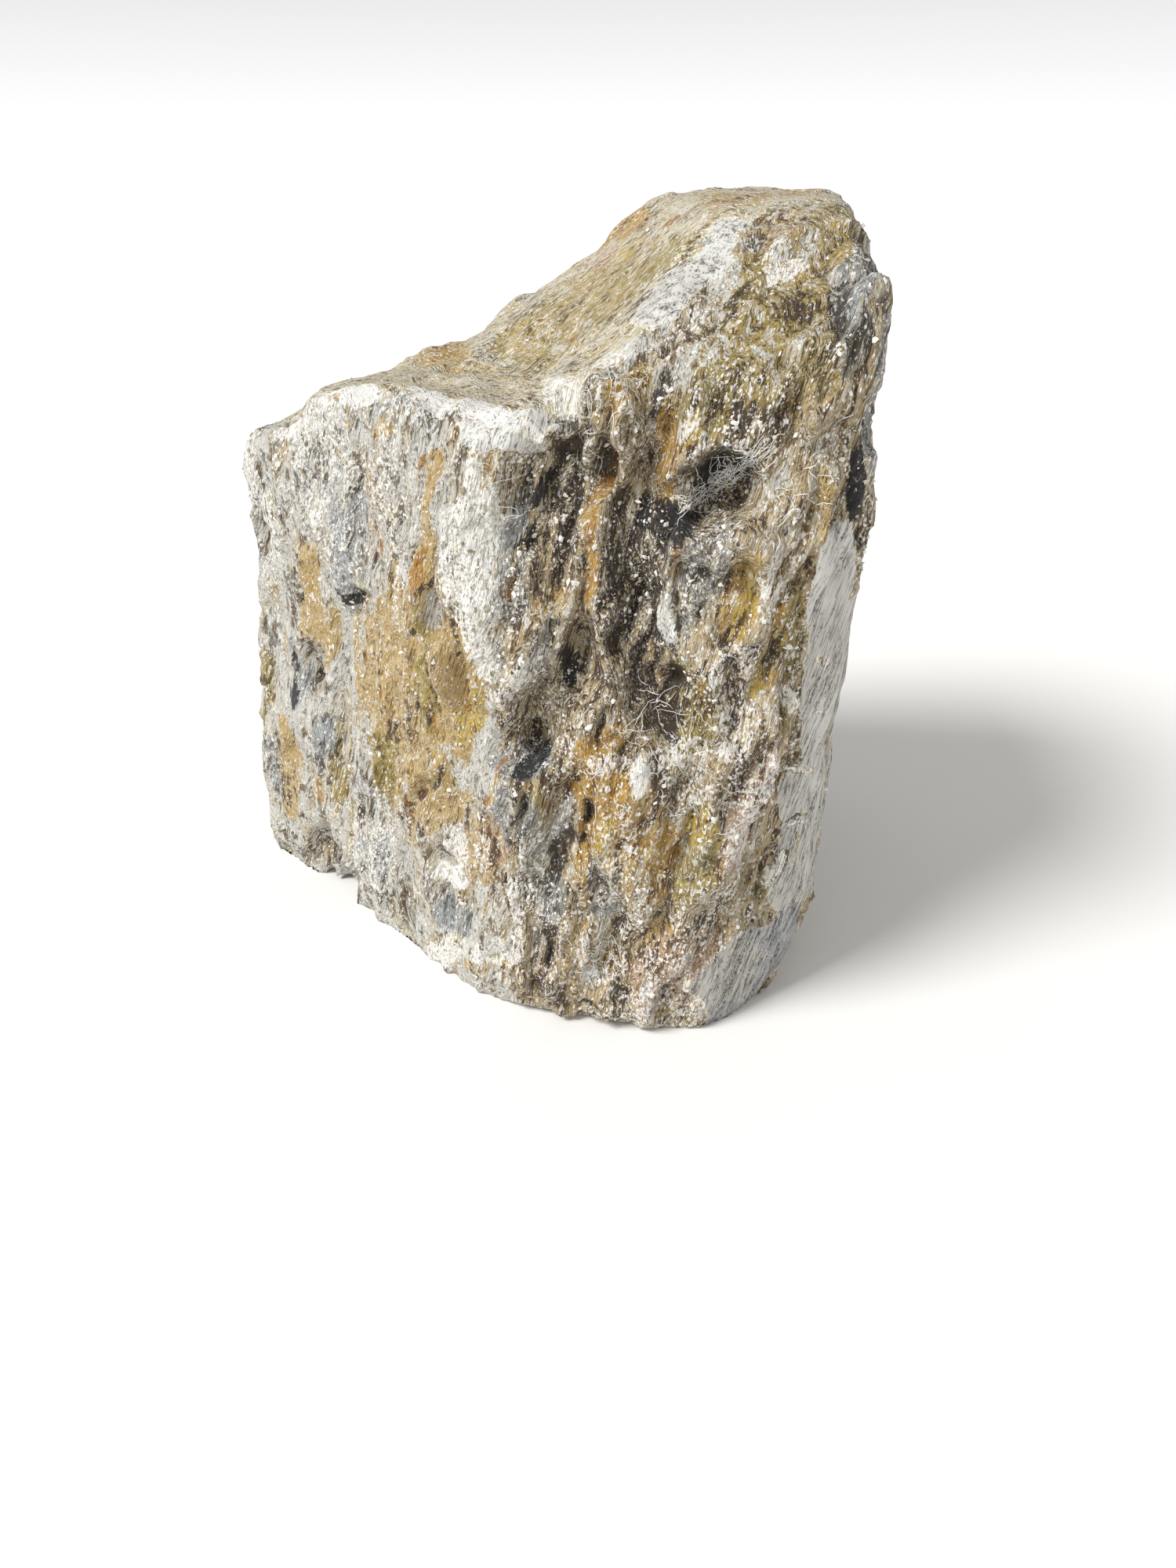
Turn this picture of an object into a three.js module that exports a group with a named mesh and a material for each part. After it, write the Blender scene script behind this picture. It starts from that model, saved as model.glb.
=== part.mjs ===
// Raw soapstone block: one lump of schistose talc rock, split across its front and worn along its upper
// edges. Millimetres, +Z up. The stone rests on its flat base at z = 0, with the origin under the middle of
// its box.
import * as THREE from "three";
import { mergeVertices } from "three/addons/utils/BufferGeometryUtils.js";

// Driving dimensions.
const gridSegments = { x: 28, y: 24, z: 32 }; // segments of the starting box along each side
const gridHalf = new THREE.Vector3(85, 75, 100); // half sides of the starting box, which sets the sampling
const gridShift = new THREE.Vector3(0, -20, 5); // the box sits forward, so the rough front is finer
const gridSpread = 0.9; // nearer 1 spaces the grid by equal angles, nearer 0 by equal lengths
const heart = new THREE.Vector3(0, 0, 95); // point inside the stone that every flat is measured from
const toOrigin = new THREE.Vector3(4.5, -5.2, 0); // brings the middle of the box over the origin
const edgePower = 36; // a higher power gives a crisper edge between two flats
const edgeSnap = 2.3; // a grid point this close to an edge moves onto it
const bendPasses = 3; // the bent flats are met again this many times
const footHeight = 3; // the rounding of the base's edge below this height is ground off

// The flats that bound the lump. Each row is the outward normal's azimuth and elevation in degrees (azimuth
// 0 faces -Y and 90 faces +X) and the flat's distance from the heart.
const flats = {
  left: [-45.5, 5, 47],
  front: [-9.5, 6.5, 61.5],
  rightFront: [33.5, 0.5, 91],
  right: [89.5, -0.5, 82],
  back: [168, 3.5, 75],
  backLeft: [-133, 0, 84.5],
  peak: [180, 87.6, 111],
  slope: [-98.5, 61, 82.5],
  frontBevel: [-22, 53, 85],
  rimBevel: [-45, 50, 75],
  leftBevel: [-80, 42, 91],
  rightBevel: [83.5, 27, 122],
  rightFoot: [71, -20.5, 110],
  frontFoot: [-15, -50, 115.2],
  base: [0, -90, 97],
};

// The scoop bends the slope into a trough that runs from the front rim to the back, and gets shallower and
// drifts to the left on the way.
const scoop = { frontY: -48, length: 120, depth: 26, fade: 18, centre: 12, drift: -26, halfWidth: 64 };
const rimRunOut = { from: 8, to: 68, rise: 0.5 }; // the bevel under the rim runs out towards the peak

// The rock's grain: it splits along its foliation, and its fibres run along the lineation.
const foliationNormal = new THREE.Vector3(0.553, -0.831, 0.06);
const fibreDirection = new THREE.Vector3(0.28, 0.19, 0.94);

// Lumps and hollows. at: a point near the surface. lean: degrees that the long axis leans to the right of
// straight up, seen from outside. size: half length along the lean, and half width across it. out: height,
// negative for a hollow. crisp: 0 for a soft swelling, nearer 1 for a flat top with steep sides.
const lumps = {
  scoopHollow: { at: [-15, 0, 170], lean: 70, size: [50, 30], out: -3, crisp: 0 },
  whiteBulge: { at: [-15, -50, 124], lean: -4, size: [38, 16], out: 6, crisp: 0.0 },
  recess: { at: [6, -57, 145], lean: 8, size: [32, 16], out: -9, crisp: 0.15 },
  recessDeep: { at: [6, -57, 152], lean: -15, size: [14, 9], out: -4, crisp: 0.0 },
  shelf: { at: [20, -57, 167], lean: -60, size: [14, 10], out: 5, crisp: 0.1 },
  creviceTop: { at: [31, -57, 163], lean: 12, size: [20, 8], out: -6, crisp: 0.0 },
  crevice: { at: [26, -64, 136], lean: 3, size: [30, 9], out: -7, crisp: 0.0 },
  creviceFoot: { at: [30, -68, 108], lean: -14, size: [24, 9], out: -6, crisp: 0.0 },
  rustRib: { at: [34, -64, 142], lean: 4, size: [24, 6], out: 3, crisp: 0.1 },
  pocket: { at: [43, -65, 150], lean: 62, size: [18, 8], out: -9, crisp: 0.2 },
  pocketLedge: { at: [46, -66, 138], lean: 80, size: [18, 7], out: 5, crisp: 0.1 },
  sidePocket: { at: [10, -65, 106], lean: 10, size: [15, 10], out: -7, crisp: 0.1 },
  lowPocket: { at: [3, -65, 91], lean: 5, size: [12, 9], out: -7, crisp: 0.1 },
  blackHollow: { at: [-5, -64, 82], lean: 75, size: [12, 7], out: -4, crisp: 0.1 },
  diagonalRib: { at: [0, -63, 103], lean: 45, size: [18, 7], out: 4, crisp: 0.1 },
  darkNick: { at: [36, -69, 99], lean: 5, size: [12, 8], out: -4, crisp: 0.0 },
  groove: { at: [9, -70, 58], lean: 2, size: [28, 10], out: -6, crisp: 0.0 },
  footGroove: { at: [20, -75, 28], lean: 4, size: [26, 9], out: -5, crisp: 0.0 },
  rib: { at: [50, -73, 75], lean: 18, size: [40, 9], out: 3.5, crisp: 0.0 },
  ribGroove: { at: [41, -74, 58], lean: 16, size: [30, 7], out: -4, crisp: 0.0 },
  ribGrooveRight: { at: [60, -72, 58], lean: 16, size: [30, 7], out: -3, crisp: 0.0 },
  frontKnee: { at: [27, -72, 76], lean: 5, size: [22, 13], out: 3, crisp: 0.0 },
  bellyLump: { at: [45, -70, 112], lean: 12, size: [26, 17], out: 3, crisp: 0.0 },
  apron: { at: [32, -72, 62], lean: 88, size: [44, 28], out: 4, crisp: 0.3 },
  leftStep: { at: [-45, -22, 140], lean: -5, size: [34, 16], out: -2.5, crisp: 0.3 },
  flakeRidge: { at: [-62, -4, 119], lean: -25, size: [22, 6], out: 2.5, crisp: 0.1 },
  pitHigh: { at: [-52, -15, 104], lean: 10, size: [7, 7], out: -4, crisp: 0.0 },
  pitLeft: { at: [-74, 4, 77], lean: 0, size: [8, 6], out: -4, crisp: 0.0 },
  pitLeftLow: { at: [-73, 1, 69], lean: 0, size: [7, 7], out: -4, crisp: 0.0 },
  pitLow: { at: [-68, -6, 53], lean: 0, size: [8, 7], out: -3, crisp: 0.0 },
  leftBelly: { at: [-30, -42, 85], lean: 0, size: [44, 20], out: 3, crisp: 0.0 },
  greyHollow: { at: [-26, -52, 25], lean: 20, size: [15, 13], out: -3.5, crisp: 0.0 },
  leftGroove: { at: [-60, -12, 60], lean: -4, size: [48, 8], out: -2.5, crisp: 0.0 },
  footNotch: { at: [-67, -9, 5], lean: 0, size: [20, 19], out: -8.5, crisp: 0.1 },
  shoulder: { at: [83, -49, 182], lean: 0, size: [20, 15], out: 0.8, crisp: 0.0 },
  darkCheek: { at: [81, -53, 142], lean: 4, size: [24, 11], out: 1.5, crisp: 0.1 },
  rightEdge: { at: [82, -52, 62], lean: 0, size: [36, 14], out: -2.5, crisp: 0.0 },
  leftRim: { at: [-73, 27, 149], lean: 60, size: [24, 14], out: -2.5, crisp: 0.0 },
  farRim: { at: [-36, 66, 155], lean: 75, size: [30, 14], out: 3, crisp: 0.0 },
  peakCorner: { at: [31, 56, 198], lean: 60, size: [16, 12], out: 2, crisp: 0.0 },
  backScar: { at: [-25, 80, 120], lean: 15, size: [50, 38], out: -8, crisp: 0.2 },
  backRib: { at: [15, 82, 110], lean: 12, size: [60, 14], out: 4, crisp: 0.0 },
  backHollow: { at: [52, 72, 60], lean: -20, size: [42, 24], out: -7, crisp: 0.2 },
  backLedge: { at: [20, 80, 170], lean: 80, size: [45, 14], out: 4, crisp: 0.2 },
  backFoot: { at: [-20, 78, 30], lean: 75, size: [38, 16], out: 4, crisp: 0.1 },
  sideScar: { at: [-92, 45, 100], lean: -8, size: [48, 20], out: -6, crisp: 0.2 },
  sideRib: { at: [-88, 30, 60], lean: 5, size: [38, 10], out: 4, crisp: 0.0 },
  rightScar: { at: [84, 30, 120], lean: 10, size: [45, 26], out: -6, crisp: 0.2 },
  rightHollow: { at: [84, 50, 50], lean: -15, size: [30, 20], out: -5, crisp: 0.1 },
  rightRib: { at: [84, 5, 90], lean: 6, size: [50, 10], out: 3, crisp: 0.0 },
};
const shortestReach = 12; // a lump fades out at least this far above and below its own surface

// Relief of the whole surface, in steps across the foliation, across the fibres and along them.
const swelling = { cell: new THREE.Vector3(26, 30, 60), height: 2, seed: 21 };
const flakeScars = { cell: new THREE.Vector3(17, 22, 50), height: 4.5, middle: 0.5, seed: 31 };
const raggedness = { cell: 14, reach: 3, seed: 11, inGrain: 0.4 }; // sideways wander of outlines and grain
const scrapedCalm = 0.85; // share of the flake scars that is gone on scraped places
const scoopCalm = 0.6; // and the share that is gone on the scoop and the peak
const faceUpFrom = 0.45; // a flat whose normal rises more than this counts as the top
const faceDownFrom = 0.55; // and one that falls more than this as the base
const faceBlend = 0.3; // over which the relief changes
const scraped = {
  peakFacet: { at: [46, -27, 195], lean: 0, size: [12, 7], crisp: 0.5 },
  shoulderFacet: { at: [37, -36, 186], lean: 35, size: [12, 7], crisp: 0.5 },
  rimFacet: { at: [-1, -53, 162], lean: 70, size: [14, 8], crisp: 0.5 },
  rightStrip: { at: [74, -62, 100], lean: 0, size: [45, 10], crisp: 0.5 },
  rightStripLow: { at: [70, -65, 65], lean: 0, size: [24, 10], crisp: 0.5 },
  footFacet: { at: [59, -72, 21], lean: 80, size: [20, 16], crisp: 0.5 },
};

const stoneColour = "#a89c7e";
const stoneRoughness = 0.78;

const up = new THREE.Vector3(0, 0, 1);
const radians = THREE.MathUtils.degToRad;

function smoothRamp(t) {
  const s = THREE.MathUtils.clamp(t, 0, 1);
  return s * s * (3 - 2 * s);
}

function facing(azimuth, elevation) {
  const level = Math.cos(radians(elevation));
  return new THREE.Vector3(
    Math.sin(radians(azimuth)) * level,
    -Math.cos(radians(azimuth)) * level,
    Math.sin(radians(elevation)),
  );
}

const facets = Object.entries(flats).map(([name, [azimuth, elevation, reach]]) => ({
  name,
  normal: facing(azimuth, elevation),
  reach,
}));

// How far a point moves its flat: the scoop hollows the slope, and the rim's bevel runs out.
function bend(name, point) {
  if (name === "slope") {
    const back = THREE.MathUtils.clamp((point.y - scoop.frontY) / scoop.length, 0, 1);
    const across = (point.x - (scoop.centre + scoop.drift * back)) / scoop.halfWidth;
    const depth = scoop.depth - scoop.fade * back;
    return -depth * Math.max(0, 1 - across * across) ** 2;
  }
  if (name === "rimBevel") {
    return rimRunOut.rise * (THREE.MathUtils.clamp(point.x, rimRunOut.from, rimRunOut.to) - rimRunOut.from);
  }
  return 0;
}

// The lump without relief: where a ray from the heart leaves the rounded intersection of the flats. Each flat
// counts with a high power of its closeness, so the nearest one rules and edges are slightly rounded.
function flatSurface(direction) {
  const point = new THREE.Vector3();
  const normal = new THREE.Vector3();
  let reaches = facets.map((facet) => facet.reach);
  for (let pass = 0; pass < bendPasses; pass += 1) {
    const closeness = facets.map((facet, i) => Math.max(0, direction.dot(facet.normal)) / reaches[i]);
    const sum = closeness.reduce((total, c) => total + c ** edgePower, 0);
    point.copy(direction).multiplyScalar(sum ** (-1 / edgePower)).add(heart);
    normal.set(0, 0, 0);
    facets.forEach((facet, i) => {
      normal.addScaledVector(facet.normal, closeness[i] ** (edgePower - 1) / reaches[i]);
    });
    reaches = facets.map((facet) => facet.reach + bend(facet.name, point));
  }
  return { point, normal: normal.normalize() };
}

// A number from 0 to 1 for each corner of a lattice, the same on every run.
function latticeNumber(x, y, z, seed) {
  let h = Math.imul(x, 0x8da6b343) + Math.imul(y, 0xd8163841) + Math.imul(z, 0xcb1ab31f);
  h = (h + Math.imul(seed, 0x165667b1)) >>> 0;
  h ^= h >>> 15;
  h = Math.imul(h, 0x2c1b3c6d) >>> 0;
  h ^= h >>> 12;
  h = Math.imul(h, 0x297a2d39) >>> 0;
  h ^= h >>> 15;
  return (h >>> 0) / 4294967296;
}

// Smooth noise from -1 to 1 with one random value at each lattice corner.
function softNoise(q, seed) {
  const corner = q.clone().floor();
  const f = q.clone().sub(corner);
  const weight = f.toArray().map((t) => t * t * (3 - 2 * t));
  let sum = 0;
  for (let i = 0; i < 8; i += 1) {
    const step = [i & 1, (i >> 1) & 1, (i >> 2) & 1];
    const share = step.reduce((product, s, k) => product * (s ? weight[k] : 1 - weight[k]), 1);
    sum += share * latticeNumber(corner.x + step[0], corner.y + step[1], corner.z + step[2], seed);
  }
  return 2 * sum - 1;
}

// Squared distance to the nearest of one random point per lattice cell: bowls that meet in sharp ridges, as
// the scars of struck flakes do.
function bowls(q, seed) {
  const corner = q.clone().floor();
  const centre = new THREE.Vector3();
  let nearest = 1;
  for (let i = 0; i < 27; i += 1) {
    const x = corner.x + (i % 3) - 1;
    const y = corner.y + (Math.floor(i / 3) % 3) - 1;
    const z = corner.z + Math.floor(i / 9) - 1;
    centre.set(
      x + latticeNumber(x, y, z, seed),
      y + latticeNumber(x, y, z, seed + 1),
      z + latticeNumber(x, y, z, seed + 2),
    );
    nearest = Math.min(nearest, centre.distanceToSquared(q));
  }
  return nearest;
}

// A lump's own frame: its seat on the flats, and the directions out of the surface, along its lean and
// across it.
function seat({ at, lean, size, crisp, out = 0 }) {
  const direction = new THREE.Vector3(...at).sub(heart).normalize();
  const { point, normal } = flatSurface(direction);
  const upward = up.clone().addScaledVector(normal, -normal.z).normalize();
  const right = upward.clone().cross(normal);
  const [c, s] = [Math.cos(radians(lean)), Math.sin(radians(lean))];
  const along = upward.clone().multiplyScalar(c).addScaledVector(right, s);
  const across = right.clone().multiplyScalar(c).addScaledVector(upward, -s);
  return { point, normal, along, across, halfLength: size[0], halfWidth: size[1], crisp, out };
}

// How strongly a lump acts at a point: 1 in its middle, 0 outside its ellipsoid.
function strength(lump, point) {
  const offset = point.clone().sub(lump.point);
  const distance =
    (offset.dot(lump.along) / lump.halfLength) ** 2 +
    (offset.dot(lump.across) / lump.halfWidth) ** 2 +
    (offset.dot(lump.normal) / Math.max(lump.halfWidth, shortestReach)) ** 2;
  return smoothRamp((1 - distance) / (1 - lump.crisp));
}

const seatedLumps = Object.values(lumps).map(seat);
const seatedScrapes = Object.values(scraped).map(seat);
const layer = foliationNormal.clone().normalize();
const fibre = fibreDirection.clone().addScaledVector(layer, -fibreDirection.dot(layer)).normalize();
const acrossFibre = layer.clone().cross(fibre);

// A point in the grain's directions, counted in cells.
function inGrain(point, cell) {
  return new THREE.Vector3(point.dot(layer), point.dot(acrossFibre), point.dot(fibre)).divide(cell);
}

// The stone's surface in one direction from the heart.
function stoneSurface(direction) {
  const { point, normal } = flatSurface(direction);
  const coarse = point.clone().divideScalar(raggedness.cell);
  const wander = new THREE.Vector3(
    softNoise(coarse, raggedness.seed),
    softNoise(coarse, raggedness.seed + 1),
    softNoise(coarse, raggedness.seed + 2),
  ).multiplyScalar(raggedness.reach);
  const ragged = point.clone().add(wander);
  const grainPoint = point.clone().addScaledVector(wander, raggedness.inGrain);

  const calm = Math.max(...seatedScrapes.map((scrape) => strength(scrape, ragged)));
  const faceUp = smoothRamp((normal.z - faceUpFrom) / faceBlend);
  const faceDown = smoothRamp((-normal.z - faceDownFrom) / faceBlend);
  const rough = (1 - scrapedCalm * calm) * (1 - scoopCalm * faceUp) * (1 - faceDown);

  let height = 0;
  for (const lump of seatedLumps) {
    height += lump.out * strength(lump, ragged);
  }
  height += swelling.height * softNoise(inGrain(grainPoint, swelling.cell), swelling.seed) * (1 - faceDown);
  const bowl = bowls(inGrain(grainPoint, flakeScars.cell), flakeScars.seed) - flakeScars.middle;
  height += flakeScars.height * rough * bowl;

  const surface = point.addScaledVector(normal, height);
  if (surface.z < footHeight) {
    surface.z = 0;
  }
  return surface.add(toOrigin);
}

// Even sampling: the starting box's vertices, from -1 to 1 along each side, are spread by angle.
function spread(t) {
  const reach = (Math.PI / 4) * gridSpread;
  return Math.tan(t * reach) / Math.tan(reach);
}

// Turns a direction so that it passes through the edge of its two nearest flats, if that edge is close by.
function snapToEdge(direction) {
  const sorted = facets
    .map((facet) => facet.normal.clone().divideScalar(facet.reach))
    .sort((a, b) => direction.dot(b) - direction.dot(a));
  const difference = sorted[0].clone().sub(sorted[1]);
  const turn = -direction.dot(difference) / difference.lengthSq();
  const distance = (Math.abs(turn) * difference.length()) / direction.dot(sorted[0]);
  return distance < edgeSnap ? direction.clone().addScaledVector(difference, turn).normalize() : direction;
}

// Each grid square is cut along the diagonal that lies further out, so that convex edges stay unbroken.
function turnDiagonals(geometry) {
  const position = geometry.getAttribute("position");
  const index = geometry.getIndex();
  const corner = (i) => new THREE.Vector3().fromBufferAttribute(position, index.getX(i));
  const middle = heart.clone().add(toOrigin);
  const outwards = (a, b) => a.add(b).multiplyScalar(0.5).distanceToSquared(middle);
  for (let i = 0; i < index.count; i += 6) {
    const [a, b, d, c] = [index.getX(i), index.getX(i + 1), index.getX(i + 2), index.getX(i + 4)];
    if (outwards(corner(i), corner(i + 4)) > outwards(corner(i + 1), corner(i + 2))) {
      [a, b, c, a, c, d].forEach((vertex, k) => index.setX(i + k, vertex));
    }
  }
}

function makeBlock() {
  const box = new THREE.BoxGeometry(2, 2, 2, gridSegments.x, gridSegments.y, gridSegments.z);
  box.deleteAttribute("normal");
  box.deleteAttribute("uv");
  const geometry = mergeVertices(box);
  const position = geometry.getAttribute("position");
  for (let i = 0; i < position.count; i += 1) {
    const direction = new THREE.Vector3(
      spread(position.getX(i)),
      spread(position.getY(i)),
      spread(position.getZ(i)),
    ).multiply(gridHalf).add(gridShift).normalize();
    const surface = stoneSurface(snapToEdge(direction));
    position.setXYZ(i, surface.x, surface.y, surface.z);
  }
  turnDiagonals(geometry);
  geometry.computeVertexNormals();
  const material = new THREE.MeshStandardMaterial({
    color: stoneColour,
    roughness: stoneRoughness,
    metalness: 0,
  });
  const block = new THREE.Mesh(geometry, material);
  block.name = "soapstone_block";
  return block;
}

const stone = new THREE.Group();
stone.add(makeBlock());

export default stone;
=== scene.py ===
import math
import bpy
import numpy as np
from mathutils import Matrix


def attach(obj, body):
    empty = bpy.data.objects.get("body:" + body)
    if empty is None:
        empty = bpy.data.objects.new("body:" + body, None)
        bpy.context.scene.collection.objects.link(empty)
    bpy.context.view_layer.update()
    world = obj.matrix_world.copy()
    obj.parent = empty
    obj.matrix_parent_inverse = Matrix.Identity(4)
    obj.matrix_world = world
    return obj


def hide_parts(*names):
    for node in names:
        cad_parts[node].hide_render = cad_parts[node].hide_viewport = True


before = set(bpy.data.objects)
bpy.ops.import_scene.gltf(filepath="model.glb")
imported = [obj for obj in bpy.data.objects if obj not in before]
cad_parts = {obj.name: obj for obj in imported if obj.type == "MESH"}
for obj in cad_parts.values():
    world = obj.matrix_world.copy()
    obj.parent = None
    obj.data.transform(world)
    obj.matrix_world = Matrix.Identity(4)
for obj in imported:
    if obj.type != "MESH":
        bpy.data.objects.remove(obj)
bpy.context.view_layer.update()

blockNode = "soapstone_block"
mm = 0.001


# the stone's form, in millimetres from the point under its heart; a name with From is a cosine at which a
# kind of face begins, and it blends in over the one with Blend
form = {
    "heart": np.array([0.0, 0.0, 95.0]),  # every flat is measured from here
    "toOrigin": np.array([4.5, -5.2, 0.0]),  # brings the middle of the box over the origin
    "edgePower": 36,  # a higher power gives a crisper edge between two flats
    "bendPasses": 3,  # each one bends the flats where the last one put the surface
    "footHeight": 0.8,  # the rounding of the base's edge below this is ground off
    "shortestReach": 12,  # a lump fades out at least this far above and below its own surface
    "faceUpFrom": 0.8, "faceUpBlend": 0.08,
    "faceDownFrom": 0.55, "faceDownBlend": 0.3,
    "roughFaceFrom": 0.35, "roughFaceBlend": 0.3,
    "roughFacing": (22, 5),  # the rough broken face looks this way
}
# each flat's outward normal as azimuth and elevation in degrees, and its distance from the heart
flats = {
    "left": (-45.5, 5, 47),
    "front": (-9.5, 6.5, 61.5),
    "rightFront": (33.5, 0.5, 91),
    "right": (89.5, -0.5, 82),
    "back": (168, 3.5, 75),
    "backLeft": (-133, 0, 84.5),
    "peak": (180, 87.6, 111),
    "slope": (-98.5, 61, 82.5),
    "frontBevel": (-22, 53, 85),
    "rimBevel": (-45, 50, 75),
    "leftBevel": (-80, 42, 91),
    "rightBevel": (83.5, 27, 122),
    "rightFoot": (71, -20.5, 110),
    "frontFoot": (-15, -50, 115.2),
    "base": (0, -90, 97),
}
# the sloping top is scooped out from frontY backwards: over its length the depth loses fade, and the middle
# goes by drift along x
scoop = {"frontY": -48, "length": 120, "depth": 26, "fade": 18, "centre": 12, "drift": -26, "halfWidth": 64}
rimRunOut = {"start": 8, "end": 68, "rise": 0.5}  # along x, and how steeply the rim's bevel climbs there
foliationNormal = np.array([0.553, -0.831, 0.06])  # square to the sheets that the rock splits into
fibreDirection = np.array([0.28, 0.19, 0.94])  # the way its fibres run

# at, lean of the long axis, half length, half width, height out of the surface, crispness
lumps = {
    "scoopHollow": ((-15, 0, 170), 70, 50, 30, -3, 0),
    "whiteBulge": ((-15, -50, 124), -4, 38, 16, 6, 0),
    "recess": ((6, -57, 145), 8, 32, 16, -9, 0.15),
    "recessDeep": ((6, -57, 152), -15, 14, 9, -4, 0),
    "shelf": ((20, -57, 167), -60, 14, 10, 5, 0.1),
    "shelfHollow": ((26, -58, 164), 0, 8, 6, -3, 0),
    "creviceTop": ((31, -57, 163), 12, 20, 8, -6, 0),
    "crevice": ((26, -64, 136), 3, 30, 9, -7, 0),
    "creviceFoot": ((30, -68, 108), -14, 24, 9, -6, 0),
    "rustRib": ((34, -64, 142), 4, 24, 6, 3, 0.1),
    "pocket": ((43, -65, 150), 62, 18, 8, -9, 0.2),
    "pocketLedge": ((46, -66, 138), 80, 18, 7, 5, 0.1),
    "sidePocket": ((10, -65, 106), 10, 15, 10, -7, 0.1),
    "lowPocket": ((3, -65, 91), 5, 12, 9, -7, 0.1),
    "blackHollow": ((-5, -64, 82), 75, 12, 7, -4, 0.1),
    "diagonalRib": ((0, -63, 103), 45, 18, 7, 4, 0.1),
    "darkNick": ((36, -69, 99), 5, 12, 8, -4, 0),
    "groove": ((9, -70, 58), 2, 28, 10, -6, 0),
    "footGroove": ((20, -75, 28), 4, 26, 9, -5, 0),
    "rib": ((50, -73, 75), 18, 40, 9, 3.5, 0),
    "ribGroove": ((41, -74, 58), 16, 30, 7, -4, 0),
    "ribGrooveRight": ((60, -72, 58), 16, 30, 7, -3, 0),
    "frontKnee": ((27, -72, 76), 5, 22, 13, 3, 0),
    "bellyLump": ((45, -70, 112), 12, 26, 17, 3, 0),
    "apron": ((32, -72, 62), 88, 44, 28, 4, 0.3),
    "leftStep": ((-45, -22, 140), -5, 34, 16, -2.5, 0.3),
    "flakeRidge": ((-62, -4, 119), -25, 22, 6, 2.5, 0.1),
    "rustCrack": ((-31, -35, 116), -6, 18, 4, -2.5, 0),
    "pitHigh": ((-52, -15, 104), 10, 7, 7, -4, 0),
    "pitLeft": ((-74, 4, 77), 0, 8, 6, -4, 0),
    "pitLeftLow": ((-73, 1, 69), 0, 7, 7, -4, 0),
    "pitLow": ((-68, -6, 53), 0, 8, 7, -3, 0),
    "slantCrack": ((-30, -43, 57), 40, 12, 4, -2.5, 0),
    "leftBelly": ((-30, -42, 85), 0, 44, 20, 3, 0),
    "greyHollow": ((-26, -52, 25), 20, 15, 13, -3.5, 0),
    "leftGroove": ((-60, -12, 60), -4, 48, 8, -2.5, 0),
    "footNotch": ((-67, -9, 5), 0, 20, 19, -8.5, 0.1),
    "shoulder": ((83, -49, 182), 0, 20, 15, 0.8, 0),
    "darkCheek": ((81, -53, 142), 4, 24, 11, 1.5, 0.1),
    "rightEdge": ((82, -52, 62), 0, 36, 14, -2.5, 0),
    "leftRim": ((-73, 27, 149), 60, 24, 14, -2.5, 0),
    "farRim": ((-36, 66, 155), 75, 30, 14, 3, 0),
    "peakCorner": ((31, 56, 198), 60, 16, 12, 2, 0),
    "sliver": ((71, -63, 146), 5, 22, 4.5, 1.6, 0.2),
    "backScar": ((-25, 80, 120), 15, 50, 38, -8, 0.2),
    "backRib": ((15, 82, 110), 12, 60, 14, 4, 0),
    "backHollow": ((52, 72, 60), -20, 42, 24, -7, 0.2),
    "backLedge": ((20, 80, 170), 80, 45, 14, 4, 0.2),
    "backFoot": ((-20, 78, 30), 75, 38, 16, 4, 0.1),
    "sideScar": ((-92, 45, 100), -8, 48, 20, -6, 0.2),
    "sideRib": ((-88, 30, 60), 5, 38, 10, 4, 0),
    "rightScar": ((84, 30, 120), 10, 45, 26, -6, 0.2),
    "rightHollow": ((84, 50, 50), -15, 30, 20, -5, 0.1),
    "rightRib": ((84, 5, 90), 6, 50, 10, 3, 0),
}


def unit(v):
    # v over its length
    return v / np.linalg.norm(v, axis=-1, keepdims=True)


def smoothRamp(t):
    # 3t^2 - 2t^3 between 0 and 1
    t = np.clip(t, 0, 1)
    return t * t * (3 - 2 * t)


def facing(azimuth, elevation):
    # the unit vector (sin a cos e, -cos a cos e, sin e), so that azimuth 0 faces the front and 90 the right
    a, e = math.radians(azimuth), math.radians(elevation)
    return np.array([math.sin(a) * math.cos(e), -math.cos(a) * math.cos(e), math.sin(e)])


flatNames = list(flats)
flatNormals = np.array([facing(a, e) for a, e, h in flats.values()])
flatReaches = np.array([float(h) for a, e, h in flats.values()])
layer = unit(foliationNormal)
fibre = unit(fibreDirection - layer * (fibreDirection @ layer))
acrossFibre = np.cross(layer, fibre)
grainAxes = np.stack([layer, acrossFibre, fibre])


def bentReaches(p):
    # the slope sinks by depth * (1 - u^2)^2 across the scoop, and the rim's bevel rises in a straight line
    # along x
    reaches = np.tile(flatReaches, (len(p), 1))
    back = np.clip((p[:, 1] - scoop["frontY"]) / scoop["length"], 0, 1)
    u = (p[:, 0] - (scoop["centre"] + scoop["drift"] * back)) / scoop["halfWidth"]
    depth = scoop["depth"] - scoop["fade"] * back
    reaches[:, flatNames.index("slope")] -= depth * np.clip(1 - u * u, 0, 1) ** 2
    out = np.clip(p[:, 0], rimRunOut["start"], rimRunOut["end"]) - rimRunOut["start"]
    reaches[:, flatNames.index("rimBevel")] += rimRunOut["rise"] * out
    return reaches


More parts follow.
